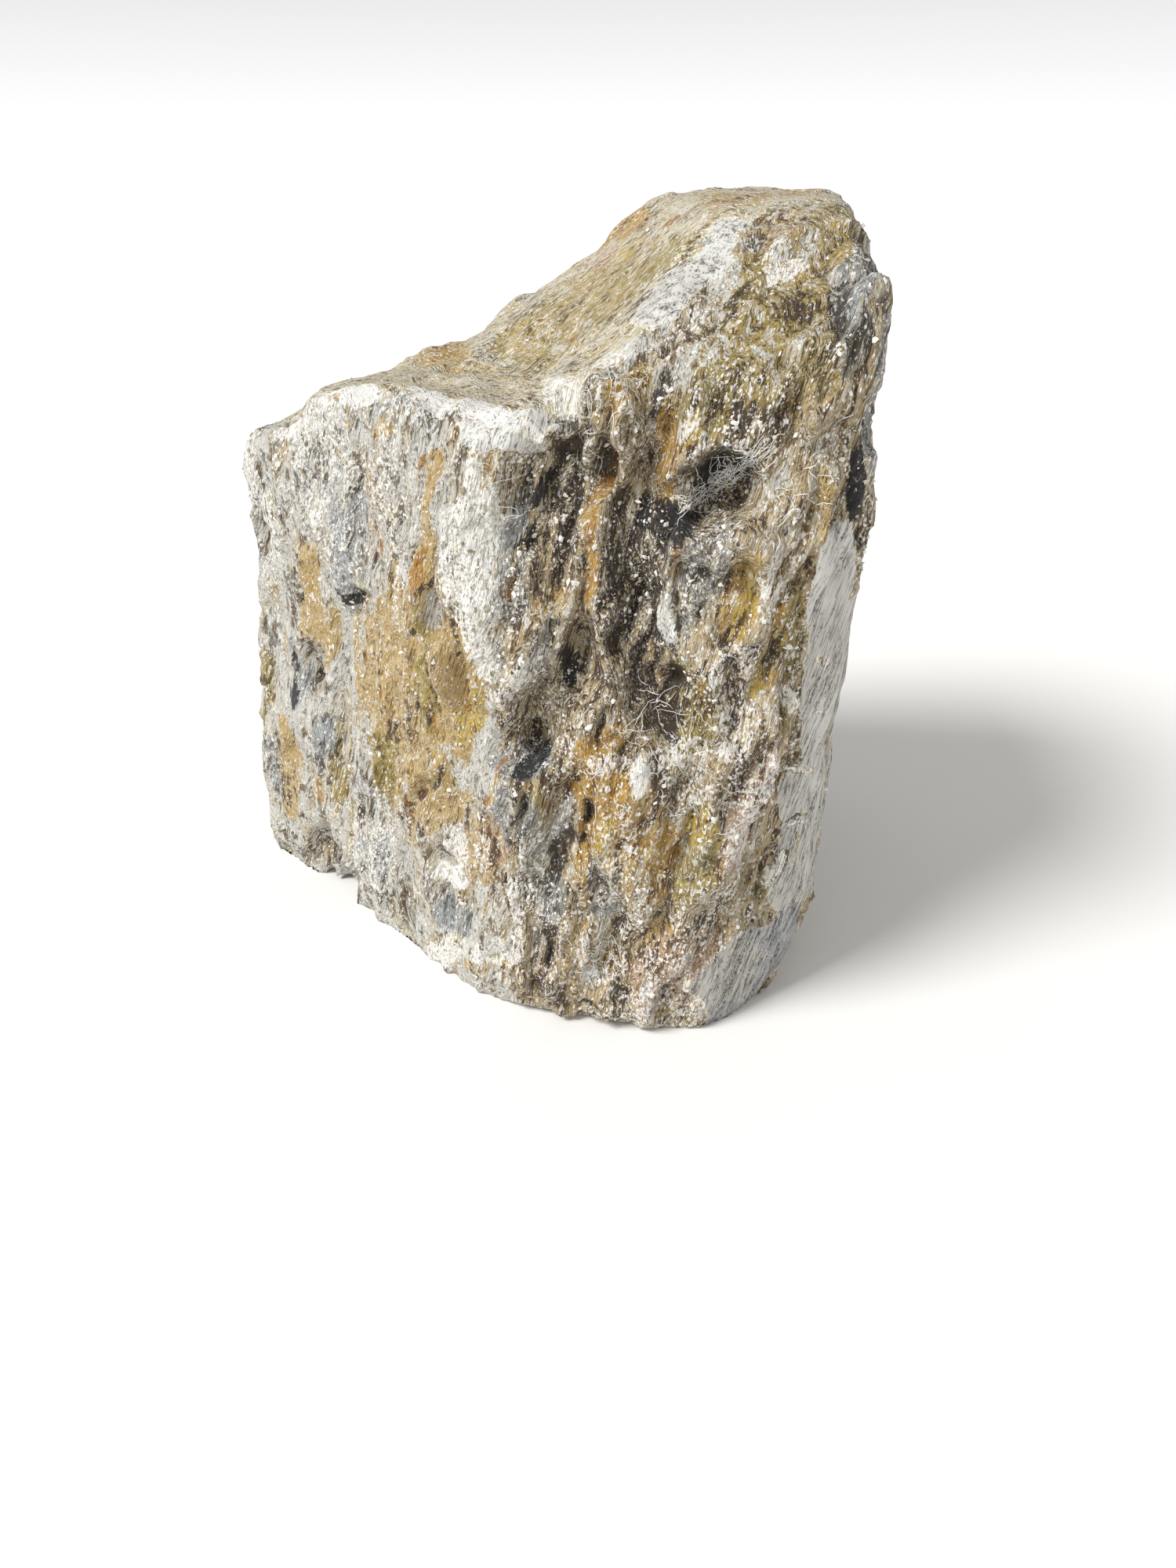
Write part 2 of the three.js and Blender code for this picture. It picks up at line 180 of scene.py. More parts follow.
def flatSurface(directions):
    # along each direction d the surface lies at (sum of (d.n/h)^power)^(-1/power), where each flat has the
    # normal n and the reach h: the rounded meeting of the flats
    power = form["edgePower"]
    reaches = np.tile(flatReaches, (len(directions), 1))
    for turn in range(form["bendPasses"]):
        closeness = np.maximum(0, directions @ flatNormals.T) / reaches
        radius = (closeness ** power).sum(1) ** (-1 / power)
        points = form["heart"] + directions * radius[:, None]
        weights = closeness ** (power - 1) / reaches
        reaches = bentReaches(points)
    return points, unit(weights @ flatNormals)


# repeatable noise
mixer = {  # odd numbers whose products spread over all 32 bits
    "axes": (0x8DA6B343, 0xD8163841, 0xCB1AB31F), "seed": 0x165667B1,
    "rounds": ((15, 0x2C1B3C6D), (12, 0x297A2D39)), "lastShift": 15,
}


def latticeNumber(x, y, z, seed):
    # mixes the three whole numbers and the seed by multiplying and shifting, and gives 0 to 1
    with np.errstate(over="ignore"):
        h = np.uint32((seed * mixer["seed"]) & 0xFFFFFFFF)
        for number, factor in zip((x, y, z), mixer["axes"]):
            h = h + number.astype(np.int64).astype(np.uint32) * np.uint32(factor)
        for shift, factor in mixer["rounds"]:
            h ^= h >> np.uint32(shift)
            h *= np.uint32(factor)
        h ^= h >> np.uint32(mixer["lastShift"])
    return h / 2.0 ** 32


def softNoise(q, seed):
    # random values at lattice corners, blended by 3t^2 - 2t^3 along each axis, from -1 to 1
    corner = np.floor(q)
    t = smoothRamp(q - corner)
    total = np.zeros(len(q))
    for i in range(8):
        step = np.array([i & 1, (i >> 1) & 1, (i >> 2) & 1])
        share = np.where(step, t, 1 - t).prod(1)
        total += share * latticeNumber(*(corner + step).T, seed)
    return 2 * total - 1


def softVector(q, seed):
    # three soft noises, one along each axis
    return np.stack([softNoise(q, seed + k) for k in range(3)], 1)


def cellsAround(q):
    # the whole-number corners of each point's own cell and of the 26 cells that touch it
    corner = np.floor(q)
    for i in range(27):
        yield corner[:, 0] + i % 3 - 1, corner[:, 1] + i // 3 % 3 - 1, corner[:, 2] + i // 9 - 1


def pointIn(x, y, z, seed):
    # one random point per cell: its corner plus three lattice numbers
    return np.stack([axis + latticeNumber(x, y, z, seed + k) for k, axis in enumerate((x, y, z))], 1)


def bowls(q, seed):
    # squared distance to the nearest cell's point: bowls that meet in sharp ridges, 0 to 1
    nearest = np.ones(len(q))
    for x, y, z in cellsAround(q):
        nearest = np.minimum(nearest, ((q - pointIn(x, y, z, seed)) ** 2).sum(1))
    return nearest


def plates(q, seed):
    # each cell's point has a flat plate of its own height and tilt; the plates are averaged with weights
    # e^(-sharpness * squared distance), so they meet in short steps
    total, weights = np.zeros(len(q)), np.full(len(q), relief["plateFloor"])
    for x, y, z in cellsAround(q):
        offset = q - pointIn(x, y, z, seed)
        weight = np.exp(-relief["plateSharpness"] * (offset ** 2).sum(1))
        tilt = np.stack([latticeNumber(x, y, z, seed + 3), latticeNumber(x, y, z, seed + 4)], 1) - 0.5
        plate = 2 * latticeNumber(x, y, z, seed + 5) - 1 + relief["plateTilt"] * (offset[:, 1:] * tilt).sum(1)
        total += weight * plate
        weights += weight
    return total / weights


def strength(points, at, lean, halfLength, halfWidth, crisp, ragged=0, power=2):
    # ramp of (1 - (a/halfLength)^power - (b/halfWidth)^power - (c/reach)^2 + ragged) / (1 - crisp): 1 in the
    # middle of an ellipsoid seated on the flats and 0 outside it, with a ragged edge; a and b run along and
    # across it and c off the flats, and a higher power gives a squarer outline
    seatPoint, seatNormal = (row[0] for row in flatSurface(unit(np.array([at], float) - form["heart"])))
    upward = unit(np.array([0, 0, 1.0]) - seatNormal * seatNormal[2])
    right = np.cross(upward, seatNormal)
    c, s = math.cos(math.radians(lean)), math.sin(math.radians(lean))
    offset = points - seatPoint
    reach = max(halfWidth, form["shortestReach"])
    distance = (abs(offset @ (upward * c + right * s) / halfLength) ** power
                + abs(offset @ (right * c - upward * s) / halfWidth) ** power
                + (offset @ seatNormal / reach) ** 2)
    return smoothRamp((1 - distance + ragged) / (1 - crisp))


# scraped places, where a tool has planed the relief away: at, lean, half length, half width and greyness
scrapedPlaces = {
    "peakFacet": ((46, -26, 195), 4, 12, 6, 0.65),
    "rimFacet": ((33, -34, 185), 20, 11, 6, 0.65),
    "notchFacet": ((-3, -49, 160), 76, 15, 7, 0.5),
    "sideStrip": ((77, -60, 99), 0, 21, 9.5, 0.7),
    "middleStrip": ((75, -60, 67), 0, 12, 12, 0.65),
    "lowStrip": ((75, -60, 45), 0, 15, 12, 0.75),
    "footStrip": ((61, -67, 17), 70, 21, 14, 1),
    "cheekStrip": ((73, -62, 128), 4, 15, 6, 0.6),
}
relief = {
    # sizes are in mm across layers, across fibres and along fibres
    "scrapedCrispness": 0.8, "scrapedPower": 5,
    "warp": 3.0, "warpSize": 14,  # edges wander by this much, over this distance
    "fineWarp": 1.3, "fineWarpSize": 4.5,
    "ragged": 0.5, "raggedSize": (4, 6, 15),  # and lumps have torn edges
    "swell": 2.0, "swellSize": (26, 30, 60),
    "scars": 4.5, "scarSize": (17, 22, 50),
    "longPlates": 2.0, "longPlateSize": (4.5, 9, 36),
    "chips": 1.7, "chipSize": (4, 5, 13),
    "splinters": 0.6, "splinterSize": (1.9, 2.8, 10),
    "grit": 0.35, "gritSize": (1.5, 1.8, 4),
    "plateSharpness": 14, "plateTilt": 1.6,
    "plateFloor": 1e-9,  # keeps the sum of weights above nought
    "grainWarp": 0.4,  # the grain follows this share of the warp
    "scarMiddle": 0.5,  # a bowl sinks below the surface where it is lower than this
    "gritEverywhere": 0.2,  # this share of the grit stays where the rock is smooth
    "calmFaces": 0.4,  # the cut faces keep this share of the broken face's roughness
    "calmScraped": 0.85, "calmTop": 0.6,  # and scraped places and the top lose this much of it
}
reliefSeeds = {"warp": 11, "fineWarp": 14, "ragged": 17, "swell": 21, "scars": 31, "longPlates": 41,
               "chips": 51, "splinters": 61, "grit": 71}


def stoneSurface(directions):
    # the flats' surface, moved along its normal by the sum of lumps, swelling, scars, plates, chips,
    # splinters and grit, each its own height times its noise
    points, normals = flatSurface(directions)
    warp = (relief["warp"] * softVector(points / relief["warpSize"], reliefSeeds["warp"])
            + relief["fineWarp"] * softVector(points / relief["fineWarpSize"], reliefSeeds["fineWarp"]))
    warped = points + warp
    inGrain = (points + relief["grainWarp"] * warp) @ grainAxes.T
    ragged = relief["ragged"] * softNoise(inGrain / relief["raggedSize"], reliefSeeds["ragged"])
    scraped, smoky = np.zeros(len(points)), np.zeros(len(points))
    for at, lean, halfLength, halfWidth, greyness in scrapedPlaces.values():
        place = strength(warped, at, lean, halfLength, halfWidth, relief["scrapedCrispness"], ragged,
                         relief["scrapedPower"])
        scraped = np.maximum(scraped, place)
        smoky = np.maximum(smoky, greyness * place)
    roughWay = facing(*form["roughFacing"])
    facingUp = smoothRamp((normals[:, 2] - form["faceUpFrom"]) / form["faceUpBlend"])
    facingDown = smoothRamp((-normals[:, 2] - form["faceDownFrom"]) / form["faceDownBlend"])
    frontFace = smoothRamp((normals @ roughWay - form["roughFaceFrom"]) / form["roughFaceBlend"])
    rough = (1 - relief["calmScraped"] * scraped) * (1 - relief["calmTop"] * facingUp) * (1 - facingDown)
    rough *= relief["calmFaces"] + (1 - relief["calmFaces"]) * frontFace
    height = np.zeros(len(points))
    for at, lean, halfLength, halfWidth, out, crisp in lumps.values():
        height += out * strength(warped, at, lean, halfLength, halfWidth, crisp, ragged)
    swell = softNoise(inGrain / relief["swellSize"], reliefSeeds["swell"])
    height += relief["swell"] * swell * (1 - facingDown)
    scars = bowls(inGrain / relief["scarSize"], reliefSeeds["scars"])
    height += relief["scars"] * rough * (scars - relief["scarMiddle"])
    for kind, size in (("longPlates", "longPlateSize"), ("chips", "chipSize"), ("splinters", "splinterSize")):
        height += relief[kind] * rough * plates(inGrain / relief[size], reliefSeeds[kind])
    gritShare = relief["gritEverywhere"] + (1 - relief["gritEverywhere"]) * rough
    height += relief["grit"] * gritShare * softNoise(inGrain / relief["gritSize"], reliefSeeds["grit"])
    moved = points + normals * height[:, None]
    moved[:, 2] = np.where(moved[:, 2] < form["footHeight"], 0, moved[:, 2])
    masks = {"scraped": scraped, "smoky": smoky, "facingUp": facingUp, "frontFace": frontFace}
    return moved, normals, warped, ragged, masks


# the grid that the surface is worked out on
blockGrid = {
    "segments": (126, 112, 148),  # along x, y and z
    "half": (85, 75, 100),  # half the box that the directions pass through, in mm
    "shift": np.array([0, -20, 5.0]),  # the box sits forward, so the rough front is finer
    "spread": 0.9,  # 1 gives the quads equal angles, and nearly 0 equal sizes on the box
    "cavityTurns": 12,  # rounds of smoothing that the cavity is measured against
    "cavityDepth": 1.2,  # a hollow this deep, in mm, counts as 1
}


def boxGrid(segments):
    # the whole numbers (i, j, k) on a box's six sides, welded along its edges, and the quads between them
    corners, quads, total = [], [], 0
    for axis in range(3):
        a, b = (axis + 1) % 3, (axis + 2) % 3
        u, v = np.meshgrid(np.arange(segments[a] + 1), np.arange(segments[b] + 1), indexing="ij")
        index = np.arange(u.size).reshape(u.shape)
        ring = np.stack([index[:-1, :-1], index[1:, :-1], index[1:, 1:], index[:-1, 1:]], -1).reshape(-1, 4)
        for end in (0, segments[axis]):
            side = np.empty((u.size, 3), int)
            side[:, axis], side[:, a], side[:, b] = end, u.ravel(), v.ravel()
            corners.append(side)
            quads.append(total + (ring if end else ring[:, ::-1]))
            total += u.size
    corners = np.concatenate(corners)
    welded, where = np.unique(corners, axis=0, return_inverse=True)
    return welded, where.ravel()[np.concatenate(quads)]


def gridDirections(lattice):
    # a number's place t from -1 to 1 becomes half * tan(t * widest) / tan(widest), with widest = spread * 45
    # degrees, and the line from the heart through it gives the direction
    t = 2 * lattice / np.array(blockGrid["segments"]) - 1
    widest = blockGrid["spread"] * math.pi / 4
    return unit(np.tan(widest * t) / math.tan(widest) * blockGrid["half"] + blockGrid["shift"])


def cavityOf(points, normals, quads):
    # how far a smoothed copy of the surface stands above the surface, from -1 on a ridge to 1 in a hollow
    start = quads.ravel()
    end = np.roll(quads, -1, axis=1).ravel()
    both, other = np.concatenate([start, end]), np.concatenate([end, start])
    count = np.bincount(both, minlength=len(points))
    smooth = points
    for turn in range(blockGrid["cavityTurns"]):
        smooth = np.stack([np.bincount(both, smooth[other, k], len(points)) / count for k in range(3)], 1)
    return np.clip(((smooth - points) * normals).sum(1) / blockGrid["cavityDepth"], -1, 1)


# objects for the scene


def intoScene(name, data):
    # a new object that holds the data, linked to the scene
    piece = bpy.data.objects.new(name, data)
    bpy.context.scene.collection.objects.link(piece)
    return piece


def makeMesh(name, points, faces, attributes=None, smooth=False):
    # millimetres from under the heart become metres in the part's frame; attributes have a number per point
    mesh = bpy.data.meshes.new(name)
    mesh.from_pydata(((points + form["toOrigin"]) * mm).tolist(), [], faces.tolist())
    for key, values in (attributes or {}).items():
        mesh.attributes.new(key, "FLOAT", "POINT").data.foreach_set("value", values.astype(np.float32))
    mesh.polygons.foreach_set("use_smooth", np.full(len(faces), smooth))
    mesh.update()
    piece = intoScene(name, mesh)
    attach(piece, "root")
    return piece


# materials
talcIndex = 1.57  # how strongly talc bends light


def linear(hexColour):
    # sRGB hex to linear, as the standard says: c / 12.92 below 0.04045, else ((c + 0.055) / 1.055) ^ 2.4
    channels = [int(hexColour[i:i + 2], 16) / 255 for i in (1, 3, 5)]
    return tuple(c / 12.92 if c < 0.04045 else ((c + 0.055) / 1.055) ** 2.4 for c in channels) + (1.0,)


def addNode(tree, kind, inputs, **settings):
    # a node with its settings; each input is a value, or another node whose first output is linked
    node = tree.nodes.new("ShaderNode" + kind)
    for key, value in settings.items():
        setattr(node, key, value)
    for socket, value in inputs.items():
        if isinstance(value, bpy.types.Node):
            value = value.outputs[0]
        if isinstance(value, bpy.types.NodeSocket):
            tree.links.new(value, node.inputs[socket])
        else:
            node.inputs[socket].default_value = value
    return node


def bareMaterial(name):
    # a new material, and its empty tree
    material = bpy.data.materials.new(name)
    material.use_nodes = True
    material.node_tree.nodes.clear()
    return material, material.node_tree


def addSurface(tree, inputs):
    # the shader with these inputs, joined to the output
    shader = addNode(tree, "BsdfPrincipled", {"IOR": talcIndex, **inputs})
    addNode(tree, "OutputMaterial", {"Surface": shader.outputs[0]})


def mixed(tree, mask, tone, colour, laid="MIX"):
    # the hex colour laid over the tone where the mask says; a colour Mix node takes its colours on sockets 6
    # and 7 and gives its result on 2
    return addNode(tree, "Mix", {0: mask, 6: tone, 7: linear(colour)}, data_type="RGBA",
                   blend_type=laid).outputs[2]


soapstoneFinish = {
    # sizes in mm across layers, across fibres and along fibres, then octaves; hairs, flecks and specks are
    # drawn a few times coarser than the rock's own, which are about 0.1 mm across
    "patterns": {
        "patches": ((9, 11, 20), 3),
        "bands": ((3.5, 7, 46), 3),
        "streaks": ((1.1, 2.0, 13), 3),
        "hairs": ((0.45, 0.5, 6), 2),
        "plates": ((0.55, 3.5, 6), 2),
        "flecks": ((0.6, 0.8, 1.6), 3),
        "specks": ((0.5, 0.55, 1.0), 2),
    },
    "noiseRoughness": 0.6,
    "grains": (0.6, 0.65, 0.95),  # crushed grains, in mm the same way
    "grainRelief": 0.7, "fibreRelief": 1.6,  # in mm
    "scrapedRelief": 0.3,  # scraped places keep this share of the fibres' relief
    "base": "#CCCAC2",
    "roughness": 0.6,
}
# each coat: how it is laid, colour, weights of the readings it adds up, smooth step from and to, amount
coats = [
    # the rock's own layers, then each tint where its stains lie
    ("MIX", "#B09C73", {"bands": 0.7, "patches": 0.3}, 0.47, 0.56, 0.65),
    ("MIX", "#BABEC1", {"patches": 0.6, "streaks": 0.4}, 0.50, 0.56, 0.6),
    ("MIX", "#C8B688", {"bands": 0.5, "streaks": 0.5, "facingUp": 0.14}, 0.54, 0.62, 0.85),
    ("MIX", "#B39A66", {"patches": 0.5, "streaks": 0.5, "frontFace": 0.18}, 0.55, 0.64, 0.8),
    ("MIX", "#7A5F38", {"bands": 0.5, "streaks": 0.5, "frontFace": 0.06, "ochre": -0.03}, 0.57, 0.63, 0.8),
    ("MIX", "#BC9C56", {"bands": 0.4, "streaks": 0.6, "ochre": 0.34}, 0.56, 0.66, 0.85),
    ("MIX", "#9A8740", {"patches": 0.4, "streaks": 0.6, "olive": 0.34}, 0.56, 0.66, 0.88),
    ("MIX", "#B48B34", {"bands": 0.4, "streaks": 0.6, "gold": 0.4}, 0.58, 0.68, 0.95),
    ("MIX", "#C2A548", {"bands": 0.3, "streaks": 0.7, "yellow": 0.4}, 0.60, 0.70, 0.9),
    ("MIX", "#C2A088", {"streaks": 0.5, "flecks": 0.5, "rose": 0.3}, 0.56, 0.68, 0.75),
    # blue-grey where its stains lie: the rock's own blue-grey, and painted shade where those stains lie in
    # hollows
    ("MIX", "#8C949A", {"streaks": 0.5, "flecks": 0.5, "slateAndShade": 0.3}, 0.57, 0.68, 0.8),
    # light and dark fibres and plates in each
    ("MULTIPLY", "#8F8370", {"streaks": 0.5, "plates": 0.3, "patches": 0.5, "ochre": -0.06}, 0.67, 0.72, 0.8),
    ("MULTIPLY", "#A5834C", {"streaks": 0.5, "patches": 0.5, "frontFace": 0.06}, 0.57, 0.62, 0.75),
    ("MULTIPLY", "#705A38", {"flecks": 0.6, "streaks": 0.4, "frontFace": 0.07, "gold": -0.03},
     0.62, 0.66, 0.7),
    ("MULTIPLY", "#A39070", {"hairs": 0.8, "plates": 0.2, "frontFace": 0.01}, 0.54, 0.59, 0.6),
    ("SCREEN", "#77705F", {"hairs": -0.6, "plates": -0.4, "facingUp": 0.03}, -0.47, -0.42, 0.7),
    ("MIX", "#F0EBDD", {"hairs": 0.6, "plates": -0.4, "facingUp": 0.035, "ochre": -0.03, "calm": -0.05},
     0.17, 0.20, 0.8),
    # crushed grains with painted shade in the gaps between them, then dark and rusty splits, powder, chalk,
    # and black spots and painted shadow in pits
    # painted shade: dark gaps between the crushed grains
    ("MIX", "#503A1A", {"grainEdge": 0.3, "flecks": 0.4, "crumbly": 0.1}, 0.43, 0.49, 0.75),
    ("MIX", "#F7F3EB", {"grainTone": 0.5, "grainEdge": -0.4, "flecks": 0.3, "crumbly": 0.2}, 0.42, 0.48, 0.9),
    # dark brown where the dark brown stains lie, and a little more in hollows by the cavity reading: real
    # dark brown in places, painted shade in crevices and hollows
    ("MIX", "#35281A", {"streaks": 0.4, "flecks": 0.6, "umberAndShade": 0.22, "cavity": 0.1}, 0.60, 0.70, 0.92),
    ("MIX", "#9E6A24", {"streaks": 0.6, "flecks": 0.4, "rust": 0.24}, 0.60, 0.68, 0.85),
    # dark specks, a little denser in hollows and on the broken front; the share in hollows is painted shade
    ("MIX", "#3A2D1D", {"specks": 0.5, "streaks": 0.3, "patches": 0.4, "cavity": 0.06, "frontFace": 0.05},
     0.73, 0.76, 0.9),
    # white specks: partly white talc, partly painted glints
    ("MIX", "#FBFAF6", {"specks": 0.6, "flecks": 0.4, "crumbly": 0.05, "frontFace": 0.01}, 0.63, 0.66, 0.92),
    ("MIX", "#F8F5EE", {"flecks": 0.5, "bands": 0.3, "grainTone": 0.2, "powder": 0.15, "cavity": -0.04},
     0.57, 0.65, 0.9),
    ("MIX", "#FBF9F3", {"flecks": 0.5, "streaks": 0.5, "chalk": 0.25}, 0.60, 0.72, 0.92),
    # black: real black spots in places, and painted shadow in pits, pockets and gaps
    ("MIX", "#17181D", {"streaks": 0.3, "flecks": 0.7, "blackSpotsAndShadow": 0.3}, 0.64, 0.74, 0.96),
    # scraped places: planed smooth, grey, with fine lines along the fibres and pores
    ("MIX", "#D5D4CE", {"streaks": 0.3, "flecks": 0.2, "scraped": 0.6, "umberAndShade": -0.3, "olive": -0.25,
                        "powder": -0.25, "chalk": -0.4}, 0.66, 0.72, 0.95),
    ("MIX", "#C0BCB4", {"streaks": 0.3, "patches": 0.4, "smoky": 0.5, "chalk": -0.3, "umberAndShade": -0.3,
                        "olive": -0.2, "powder": -0.2}, 0.60, 0.74, 0.9),
    ("MIX", "#A4A6AA", {"bands": 0.3, "patches": 0.3, "smoky": 0.5, "chalk": -0.3, "powder": -0.3},
     0.70, 0.82, 0.85),
    ("MULTIPLY", "#8F8C86", {"hairs": 0.6, "streaks": 0.4, "scraped": 0.3, "smoky": 0.07}, 0.84, 0.91, 0.7),
    ("MULTIPLY", "#5A564E", {"specks": 0.6, "streaks": 0.4, "scraped": 0.2, "smoky": 0.08}, 0.83, 0.85, 0.85),
]
fibreBumps = {"streaks": 0.9, "plates": 0.7, "hairs": 0.5, "flecks": 0.5}
grainBumps = {"grainEdge": -0.6, "grainTone": 0.5, "specks": 0.4}


def weighedSum(tree, readings, weights):
    # the sum of weight * reading; a reading that isn't a pattern is the mesh's attribute of that name
    total = 0.0
    for name, weight in weights.items():
        if name not in readings:
            readings[name] = addNode(tree, "Attribute", {}, attribute_name=name).outputs["Fac"]
        total = addNode(tree, "Math", {0: readings[name], 1: weight, 2: total}, operation="MULTIPLY_ADD")
    return total


def rawSoapstone():
    # talc schist, split along its foliation and left raw: to the eye fine silvery fibres, rust in the splits
    # and pale talc powder
    material, tree = bareMaterial("rawSoapstone")
    finish = soapstoneFinish
    place = addNode(tree, "TexCoord", {}).outputs["Object"]
    turn = Matrix(grainAxes.tolist()).to_euler("XYZ")
    inGrain = addNode(tree, "Mapping", {"Vector": place, "Rotation": turn, "Scale": (1 / mm,) * 3})  # in mm
    readings = {}
    for name, (size, octaves) in finish["patterns"].items():
        sized = addNode(tree, "Mapping", {"Vector": inGrain, "Scale": [1 / s for s in size]})
        readings[name] = addNode(tree, "TexNoise", {"Vector": sized, "Scale": 1, "Detail": octaves,
                                                    "Roughness": finish["noiseRoughness"]})
    sized = addNode(tree, "Mapping", {"Vector": inGrain, "Scale": [1 / s for s in finish["grains"]]})
    grains = addNode(tree, "TexVoronoi", {"Vector": sized, "Scale": 1})
    readings["grainEdge"], readings["grainTone"] = grains.outputs["Distance"], grains.outputs["Color"]
    tone = linear(finish["base"])
    for laid, colour, weights, low, high, amount in coats:
        reading = weighedSum(tree, readings, weights)
        mask = addNode(tree, "MapRange", {"Value": reading, "From Min": low, "From Max": high,
                                          "To Max": amount}, interpolation_type="SMOOTHSTEP")
        tone = mixed(tree, mask, tone, colour, laid)
    grainy = addNode(tree, "Bump", {"Strength": weighedSum(tree, readings, {"crumbly": 1}),
                                    "Distance": finish["grainRelief"] * mm,
                                    "Height": weighedSum(tree, readings, grainBumps)})
    planed = addNode(tree, "MapRange", {"Value": readings["scraped"], "To Min": 1,
                                        "To Max": finish["scrapedRelief"]})
    bump = addNode(tree, "Bump", {"Strength": planed, "Distance": finish["fibreRelief"] * mm,
                                  "Normal": grainy, "Height": weighedSum(tree, readings, fibreBumps)})
    addSurface(tree, {"Base Color": tone, "Roughness": finish["roughness"], "Normal": bump})
    return material


crumbFinish = {
    "tone": "#9A8B70", "roughness": 0.7, "step": 0.05,
    # a crumb whose random shade is over the number takes the colour
    "over": (("#BDB6A6", 0.15), ("#DEDACF", 0.4), ("#F3F0E8", 0.7), ("#C9A566", 0.95)),
}


def crumbledTalc():
    # loose grains of talc and mica: to the eye cream, grey and a few rusty ones, with no shine
    material, tree = bareMaterial("crumbledTalc")
    shade = addNode(tree, "Attribute", {}, attribute_name="shade").outputs["Fac"]
    tone = linear(crumbFinish["tone"])
    for colour, low in crumbFinish["over"]:
        mask = addNode(tree, "MapRange", {"Value": shade, "From Min": low,
                                          "From Max": low + crumbFinish["step"]})
        tone = mixed(tree, mask, tone, colour)
    addSurface(tree, {"Base Color": tone, "Roughness": crumbFinish["roughness"]})
    return material


fibreFinish = {"tone": "#F7F6F1", "roughness": 0.45}


def frayedFibre():
    # hair-fine fibres that have frayed out of the rock: to the eye white and silky
    material, tree = bareMaterial("frayedFibre")
    addSurface(tree, {"Base Color": linear(fibreFinish["tone"]), "Roughness": fibreFinish["roughness"]})
    return material
